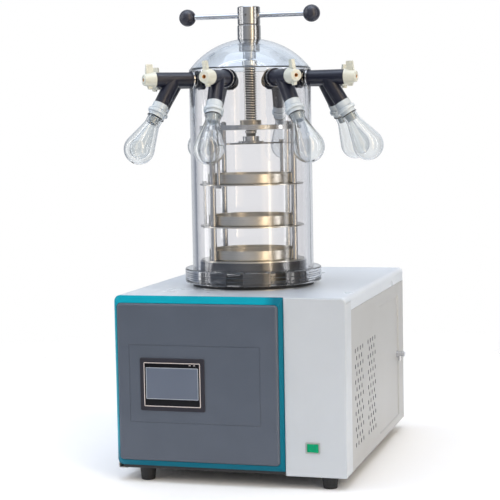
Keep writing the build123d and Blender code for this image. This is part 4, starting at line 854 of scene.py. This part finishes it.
@dataclass(kw_only=True)
class PressScrew(Assembly):
    """The spindle with its real thread, in place of the plain CAD solid."""

    axis_y: float
    foot_radius: float = 0.011
    foot_height: float = 0.0034
    groove_radius: float = 0.008
    groove_top: float = 0.016
    journal_radius: float = 0.01
    body_start: float = 0.022
    body_radius: float = 0.012
    chamfer: float = 0.0003
    head_radius: float = 0.0155
    head_edge: float = 0.001
    core_radius: float = 0.0102
    crest_radius: float = 0.0130
    bore_radius: float = 0.0068
    bore_flat: float = 0.0053
    bore_depth: float = 0.132
    slack: float = 0.0001
    pitch: float = 0.005
    crest_width: float = 0.0020
    root_width: float = 0.0034
    root_sink: float = 0.0004
    thread_low: float = 0.688
    thread_high: float = 0.822
    steps_in_turn: int = 40

    def build(self) -> list[Piece]:
        """Makes the turned core and the thread, and joins them.

        Returns:
            The one piece, which rides on the spindle.
        """
        low, high = (corner.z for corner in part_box("spindle"))
        edge, step, bore_end = self.chamfer, low + self.body_start, high - self.bore_depth
        outline = [
            (0.0, low), (self.foot_radius, low), (self.foot_radius, low + self.foot_height),
            (self.groove_radius, low + self.foot_height), (self.groove_radius, low + self.groove_top),
            (self.journal_radius, low + self.groove_top), (self.journal_radius, step - edge),
            (self.body_radius - edge, step - edge), (self.body_radius, step),
            (self.body_radius, self.thread_low - edge), (self.body_radius - edge, self.thread_low),
            (self.core_radius, self.thread_low), (self.core_radius, self.thread_high),
            (self.head_radius - edge, self.thread_high), (self.head_radius, self.thread_high + edge),
            (self.head_radius, high - self.head_edge), (self.head_radius - self.head_edge, high),
            (self.bore_radius, high), (self.bore_radius, bore_end), (0.0, bore_end),
        ]
        mesh = bmesh.new()
        lathe(outline, Matrix.Translation((0, self.axis_y, 0)), mesh)
        for vert in mesh.verts:
            reach = math.hypot(vert.co.x, vert.co.y - self.axis_y)
            if vert.co.z > bore_end - self.slack and reach < self.bore_radius + self.slack:
                vert.co.x = max(-self.bore_flat, min(self.bore_flat, vert.co.x))
        core = self.make(mesh, "threaded_spindle", SCREW_STEEL)
        thread = self.thread(self.finishes[SCREW_STEEL.name])
        with bpy.context.temp_override(active_object=core, selected_editable_objects=[core, thread]):
            bpy.ops.object.join()
        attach(core, "spindle")
        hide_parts("spindle")
        return self.pieces

    def thread(self, steel: Material) -> Piece:
        """Sweeps the thread's section along a spiral.

        Args:
            steel: the thread's material.

        Returns:
            The thread as a plain object.
        """
        turns = (self.thread_high - self.thread_low - self.root_width) / self.pitch
        shape = NodeShape("spindle_thread", [
            ("Turns", "NodeSocketFloat", turns),
            ("Height", "NodeSocketFloat", turns * self.pitch),
            ("Radius", "NodeSocketFloat", (self.core_radius + self.crest_radius) / 2),
            ("Depth", "NodeSocketFloat", self.crest_radius - self.core_radius + self.root_sink),
            ("Root", "NodeSocketFloat", self.root_width),
            ("Crest", "NodeSocketFloat", self.crest_width),
            ("Place", "NodeSocketVector", (0.0, self.axis_y, self.thread_low + self.root_width / 2)),
            ("Finish", "NodeSocketMaterial", steel),
        ])
        graph, given = shape.graph, shape.given
        spiral = graph.add(
            "GeometryNodeCurveSpiral", Resolution=self.steps_in_turn, Rotations=given["Turns"],
            Start_Radius=given["Radius"], End_Radius=given["Radius"], Height=given["Height"],
        )
        section = graph.add(
            "GeometryNodeCurvePrimitiveQuadrilateral", mode="TRAPEZOID", Height=given["Depth"],
            Bottom_Width=given["Root"], Top_Width=given["Crest"], Offset=0.0,
        )
        turned = graph.add(
            "GeometryNodeTransform", Geometry=section.outputs[0], Rotation=(0.0, 0.0, SQUARE),
        )
        level = graph.add("GeometryNodeSetCurveNormal", mode="Z_UP", Curve=spiral.outputs[0])
        swept = graph.add(
            "GeometryNodeCurveToMesh", Curve=level.outputs[0], Profile_Curve=turned.outputs[0],
            Fill_Caps=True,
        )
        placed = graph.add("GeometryNodeTransform", Geometry=swept.outputs[0], Translation=given["Place"])
        flat = graph.add("GeometryNodeSetShadeSmooth", Geometry=placed.outputs[0], Shade_Smooth=False)
        shape.close(flat.outputs[0])
        seed = bpy.data.objects.new("spindle_thread", bpy.data.meshes.new("spindle_thread"))
        bpy.context.scene.collection.objects.link(seed)
        return shape.run(seed)


@dataclass(kw_only=True)
class Manifold(Assembly):
    """The rings of the chamber's ports, knobs and adapters, and the dark joints of its tube."""

    axis_y: float
    port_z: float = 0.793
    count: int = PORTS
    first_port: float = -6.4
    lean: float = 6.5
    branch_angle: float = 30.5
    branch_start: float = 0.1665
    ring_from_junction: float = 0.0872
    ring_radius: float = 0.0156
    ring_section: float = 0.0009
    ring_sides: int = 10
    ring_steps: int = 40
    collar: Span = (0.1257, 0.1287)
    collar_radii: Span = (0.0176, 0.0184)
    collar_steps: int = 48
    rim: Span = (0.2290, 0.2307)
    rim_radii: Span = (0.0039, 0.0066)
    rim_steps: int = 32
    vent: Span = (0.2160, 0.2300)
    vent_radii: Span = (0.0032, 0.0039)
    vent_steps: int = 24
    joint_heights: Sequence[Span] = ((0.8131, 0.8139),)
    joint_radii: Span = (0.1155, 0.1251)
    foot_heights: Sequence[Span] = ((0.3880, 0.3890), (0.3960, 0.3970))
    foot_radii: Span = (0.1395, 0.1411)
    line_steps: int = 128

    def build(self) -> list[Piece]:
        """Makes the rings at the ports, the dark joints, and the rims and linings of the knobs.

        Returns:
            The pieces, which ride on the chamber or on their knobs.
        """
        first = Matrix.Translation((0, -self.axis_y, -self.port_z)) @ self.port(0)
        turns = [TURN * side / self.ring_sides for side in range(self.ring_sides)]
        section = [
            (self.ring_radius + self.ring_section * math.cos(turn), self.ring_section * math.sin(turn))
            for turn in turns
        ]
        mesh = bmesh.new()
        lathe(section, first @ self.branch(), mesh, self.ring_steps)
        self.round_chamber(mesh, "adapter_seal_rings", SEAL_RUBBER, "rubber_black")

        (start, end), (inner, outer) = self.collar, self.collar_radii
        edge = (outer - inner) / 3
        outline = [
            (inner, start), (outer - edge, start), (outer, start + edge),
            (outer, end - edge), (outer - edge, end), (inner, end),
        ]
        mesh = bmesh.new()
        lathe(outline, first @ OUTWARD, mesh, self.collar_steps)
        self.round_chamber(mesh, "port_collars", BRIGHT_STEEL, "steel_bright")

        self.draw_lines("dome_joint_line", JOINT_CEMENT, self.joint_radii, self.joint_heights)
        self.draw_lines("foot_ring_joints", FLANGE_LINE, self.foot_radii, self.foot_heights)
        for index in range(self.count):
            self.line_knob(index)
        return self.pieces

    def draw_lines(self, name: str, finish: Finish, radii: Span, heights: Iterable[Span]) -> None:
        """Makes the dark lines of joints that run round the tube.

        Args:
            name: the piece's name.
            finish: its finish.
            radii: the inner and the outer radius.
            heights: where each line starts and ends.
        """
        inner, outer = radii
        mesh = bmesh.new()
        for low, high in heights:
            outline = [(inner, low), (outer, low), (outer, high), (inner, high)]
            lathe(outline, Matrix.Translation((0, self.axis_y, 0)), mesh, self.line_steps)
        piece = self.make(mesh, name, finish)
        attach(piece, "chamber")

    def line_knob(self, index: int) -> None:
        """Lines the vent hole of one knob and gives it a rim.

        Args:
            index: which port it is, from zero.
        """
        (start, end), (inner, outer) = self.rim, self.rim_radii
        edge = (end - start) / 3
        rim = [
            (inner, start), (outer, start), (outer, end - edge),
            (outer - edge, end), (inner + edge, end), (inner, end - edge),
        ]
        (start, end), (inner, outer) = self.vent, self.vent_radii
        floor = start + (outer - inner)
        vent = [(0.0, start), (outer, start), (outer, end), (inner, end), (inner, floor), (0.0, floor)]
        for name, outline, steps, finish in (
            ("knob_collar", rim, self.rim_steps, KNOB_CREAM),
            ("knob_vent", vent, self.vent_steps, VENT_AMBER),
        ):
            mesh = bmesh.new()
            lathe(outline, self.port(index) @ OUTWARD, mesh, steps)
            piece = self.make(mesh, f"{name}_{index + 1}", finish)
            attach(piece, f"valve_knob_{index + 1}")

    def port(self, index: int) -> Matrix:
        """Finds one port's place.

        Args:
            index: which port it is, from zero.

        Returns:
            Its place, with x outward from the chamber's axis and z up along its lean.
        """
        angle = math.radians(self.first_port) - SQUARE + TURN * index / self.count
        centre = Matrix.Translation((0, self.axis_y, self.port_z))
        return centre @ Matrix.Rotation(angle, 4, "Z") @ Matrix.Rotation(math.radians(self.lean), 4, "X")

    def branch(self) -> Matrix:
        """Finds the seal ring's place on its port.

        Returns:
            Its place, with z along the branch.
        """
        start = Matrix.Translation((self.branch_start, 0, 0))
        turn = Matrix.Rotation(math.pi - math.radians(self.branch_angle), 4, "Y")
        return start @ turn @ Matrix.Translation((0, 0, self.ring_from_junction))

    def round_chamber(self, mesh: Mesh, name: str, finish: Finish, slot: str) -> None:
        """Repeats one mesh round the chamber.

        Args:
            mesh: the shape at the first port, with the ports' centre at zero.
            name: the piece's name.
            finish: its finish.
            slot: the record's slot it belongs to, which is not used.
        """
        material = self.finishes[finish.name]
        shape = NodeShape(f"{name}_round", [
            ("Count", "NodeSocketInt", self.count),
            ("Centre", "NodeSocketVector", (0.0, self.axis_y, self.port_z)),
            ("Finish", "NodeSocketMaterial", material),
        ])
        graph, given = shape.graph, shape.given
        line = graph.add(
            "GeometryNodeMeshLine", Count=given["Count"], Start_Location=given["Centre"],
            Offset=(0.0, 0.0, 0.0),
        )
        step = graph.math("DIVIDE", TURN, given["Count"])
        angle = graph.math("MULTIPLY", graph.add("GeometryNodeInputIndex").outputs[0], step)
        turn = graph.add("ShaderNodeCombineXYZ", Z=angle)
        spread = graph.add(
            "GeometryNodeInstanceOnPoints", Points=line.outputs[0], Instance=given["Geometry"],
            Rotation=turn.outputs[0],
        )
        shape.close(spread.outputs[0])
        piece = shape.run(finish_mesh(mesh, name, material))
        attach(piece, "chamber")
        self.pieces.append(piece)


@dataclass
class Studio:
    """The floor, the light and the camera."""

    floor_radius: float = 2.0
    floor_sides: int = 96
    fade_from: float = 0.5
    target: Point = (-0.0267, 0.00136, 0.4355)
    azimuth: float = 16.1
    elevation: float = 4.73
    roll: float = -1.06
    distance: float = 3.1242
    lens: float = 105.88
    sensor: float = 36.0
    farthest: float = 50.0
    bands: tuple[tuple[float, str, float], ...] = (
        (-180, "f2f6fb", 1.0), (-140, "e6ebf2", 0.9), (-122, "8790a0", 0.8), (-96, "96a1b3", 0.95),
        (-89, "ffffff", 1.2), (-87, "ffffff", 6.0), (-84, "ffffff", 6.0), (-81, "eef2f8", 1.0),
        (-74, "a3acb9", 0.9), (-35, "b3bac5", 1.0), (0, "d2d4d8", 1.1), (32, "d8d2c8", 1.0),
        (38, "ffe9c8", 1.8), (46, "ffe6c0", 2.0), (47, "ffebcd", 7.0), (51, "ffebcd", 7.0),
        (53, "ffe8c6", 1.9), (60, "d8cdbc", 1.0), (76, "a9a6a2", 0.6), (80, "fff8ee", 1.0),
        (83, "ffffff", 6.0), (86, "ffffff", 6.0), (89, "f4eee6", 0.9), (98, "98948e", 0.5),
        (124, "8d8c90", 0.6), (142, "e6ebf2", 0.9), (180, "f2f6fb", 1.0),
    )
    brightest: float = 7.0
    paper_white: float = 1.0
    rise: Span = (-0.4, 0.9)
    rise_levels: Span = (0.75, 1.1)
    boxes: tuple[tuple[str, Point, Span, float, str], ...] = (
        ("left_box", (-2.6, -1.8, 1.7), (0.9, 2.2), 16.0, "ffffff"),
        ("right_box", (2.4, -2.2, 1.6), (0.5, 2.0), 5.0, "fff1e0"),
        ("top_box", (0.0, -0.4, 3.0), (2.4, 2.0), 37.0, "d9e8ff"),
    )
    box_aim: Point = (0.0, 0.0, 0.5)

    def build(self) -> None:
        """Makes the floor, the light, the boxes and the camera."""
        self.build_floor()
        self.build_light()
        self.build_boxes()
        self.build_camera()

    def build_floor(self) -> None:
        """Lays a round pale matt floor that fades out into the light round it."""
        mesh = bmesh.new()
        bmesh.ops.create_circle(mesh, cap_ends=True, segments=self.floor_sides, radius=self.floor_radius)
        paint = Paint("pale_floor")
        grain = paint.effect(Effect.GRAIN, Scale=3.0, Blotch_Scale=0.8)
        reach = paint.add("ShaderNodeVectorMath", operation="LENGTH")
        paint.join(paint.place(), reach.inputs[0])
        fade = paint.add(
            "ShaderNodeMapRange", interpolation_type="SMOOTHSTEP", Value=reach.outputs["Value"],
            From_Min=self.fade_from, From_Max=self.floor_radius, To_Min=1.0, To_Max=0.0,
        )
        paint.set(
            Base_Color=paint.mix(grain["Blotch"], tint("fdfdfd"), tint("fafafb")),
            Roughness=0.8,
            Alpha=fade.outputs[0],
            Specular_IOR_Level=0.2,
        )
        finish_mesh(mesh, "studio_floor", paint.material)

    def build_light(self) -> None:
        """Lights the room with upright bands of light, cool at the left and warm at the right."""
        bpy.context.scene.view_settings.view_transform = "Standard"
        world = bpy.data.worlds.new("studio")
        bpy.context.scene.world = world
        world.use_nodes = True
        graph = Graph(world.node_tree)
        x, y, z = graph.parts(graph.add("ShaderNodeTexCoord").outputs["Generated"])
        heading = graph.math("ARCTAN2", x, graph.math("MULTIPLY", y, -1.0))
        ramp = graph.add("ShaderNodeValToRGB", Fac=graph.share(heading, -math.pi, math.pi))
        stops = ramp.color_ramp.elements
        for degrees, _, _ in self.bands[1:-1]:
            stops.new((degrees + 180) / 360)
        for stop, (_, code, level) in zip(stops, self.bands):
            stop.color = (*(part * level / self.brightest for part in tint(code)[:3]), 1.0)
        rise = graph.span(graph.share(z, *self.rise), *self.rise_levels)
        strength = graph.math("MULTIPLY", rise, self.brightest)
        glow = graph.add("ShaderNodeBackground", Color=ramp.outputs[0], Strength=strength)
        paper = graph.add("ShaderNodeBackground", Color=(1.0, 1.0, 1.0, 1.0), Strength=self.paper_white)
        path = graph.add("ShaderNodeLightPath")
        turns = graph.math("ADD", path.outputs["Glossy Depth"], path.outputs["Diffuse Depth"])
        seen = graph.add("ShaderNodeMixShader", Fac=graph.math("LESS_THAN", turns, 0.5))
        graph.join(glow.outputs[0], seen.inputs[1])
        graph.join(paper.outputs[0], seen.inputs[2])
        graph.add("ShaderNodeOutputWorld", Surface=seen.outputs[0])

    def build_boxes(self) -> None:
        """Hangs the soft boxes, which aim at the machine and aren't seen through its clear walls."""
        for name, place, size, power, code in self.boxes:
            light = bpy.data.lights.new(name, "AREA")
            light.shape = "RECTANGLE"
            light.size, light.size_y = size
            light.energy = power
            light.color = tint(code)[:3]
            lamp = bpy.data.objects.new(name, light)
            lamp.visible_transmission = False
            bpy.context.scene.collection.objects.link(lamp)
            aim = (Vector(self.box_aim) - Vector(place)).to_track_quat("-Z", "Y")
            lamp.matrix_world = Matrix.Translation(place) @ aim.to_matrix().to_4x4()

    def build_camera(self) -> None:
        """Places the camera on its line of view and turns it upright but for its slight roll."""
        around, rise, roll = map(math.radians, (self.azimuth, self.elevation, self.roll))
        level = Vector((math.cos(around), math.sin(around), 0))
        ahead = Vector((-math.sin(around), math.cos(around), 0))
        forward = ahead * math.cos(rise) - Vector((0, 0, math.sin(rise)))
        plumb = level.cross(forward)
        right = level * math.cos(roll) + plumb * math.sin(roll)
        up = plumb * math.cos(roll) - level * math.sin(roll)
        turn = Matrix((right, up, -forward)).transposed().to_4x4()
        data = bpy.data.cameras.new("camera")
        data.lens = self.lens
        data.sensor_width = self.sensor
        data.clip_end = self.farthest
        camera = bpy.data.objects.new("camera", data)
        bpy.context.scene.collection.objects.link(camera)
        camera.matrix_world = Matrix.Translation(Vector(self.target) - forward * self.distance) @ turn
        bpy.context.scene.camera = camera


def dress_nodes(finishes: dict[str, Material]) -> None:
    """Gives every CAD node its material.

    Args:
        finishes: built materials by name.
    """
    for finish, nodes in NODE_FINISHES.items():
        for node in nodes:
            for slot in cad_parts[node].material_slots:
                slot.material = finishes[finish.name]


def main() -> None:
    """Builds the studio, the finishes and the sub-assemblies."""
    logging.basicConfig(level=logging.INFO, format="%(name)s: %(message)s")
    low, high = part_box("chamber_tube")
    axis_y = (low.y + high.y) / 2
    build_effects(axis_y)
    Studio().build()
    finishes = {finish.name: finish.build() for finish in (*NODE_FINISHES, *SCENE_FINISHES)}
    dress_nodes(finishes)
    screw, manifold = PressScrew(finishes, axis_y=axis_y), Manifold(finishes, axis_y=axis_y)
    for assembly in (Cabinet(finishes), screw, manifold):
        for piece in assembly.build():
            log.info("%s: %d faces", piece.name, len(piece.data.polygons))


if __name__ == "__main__":
    main()
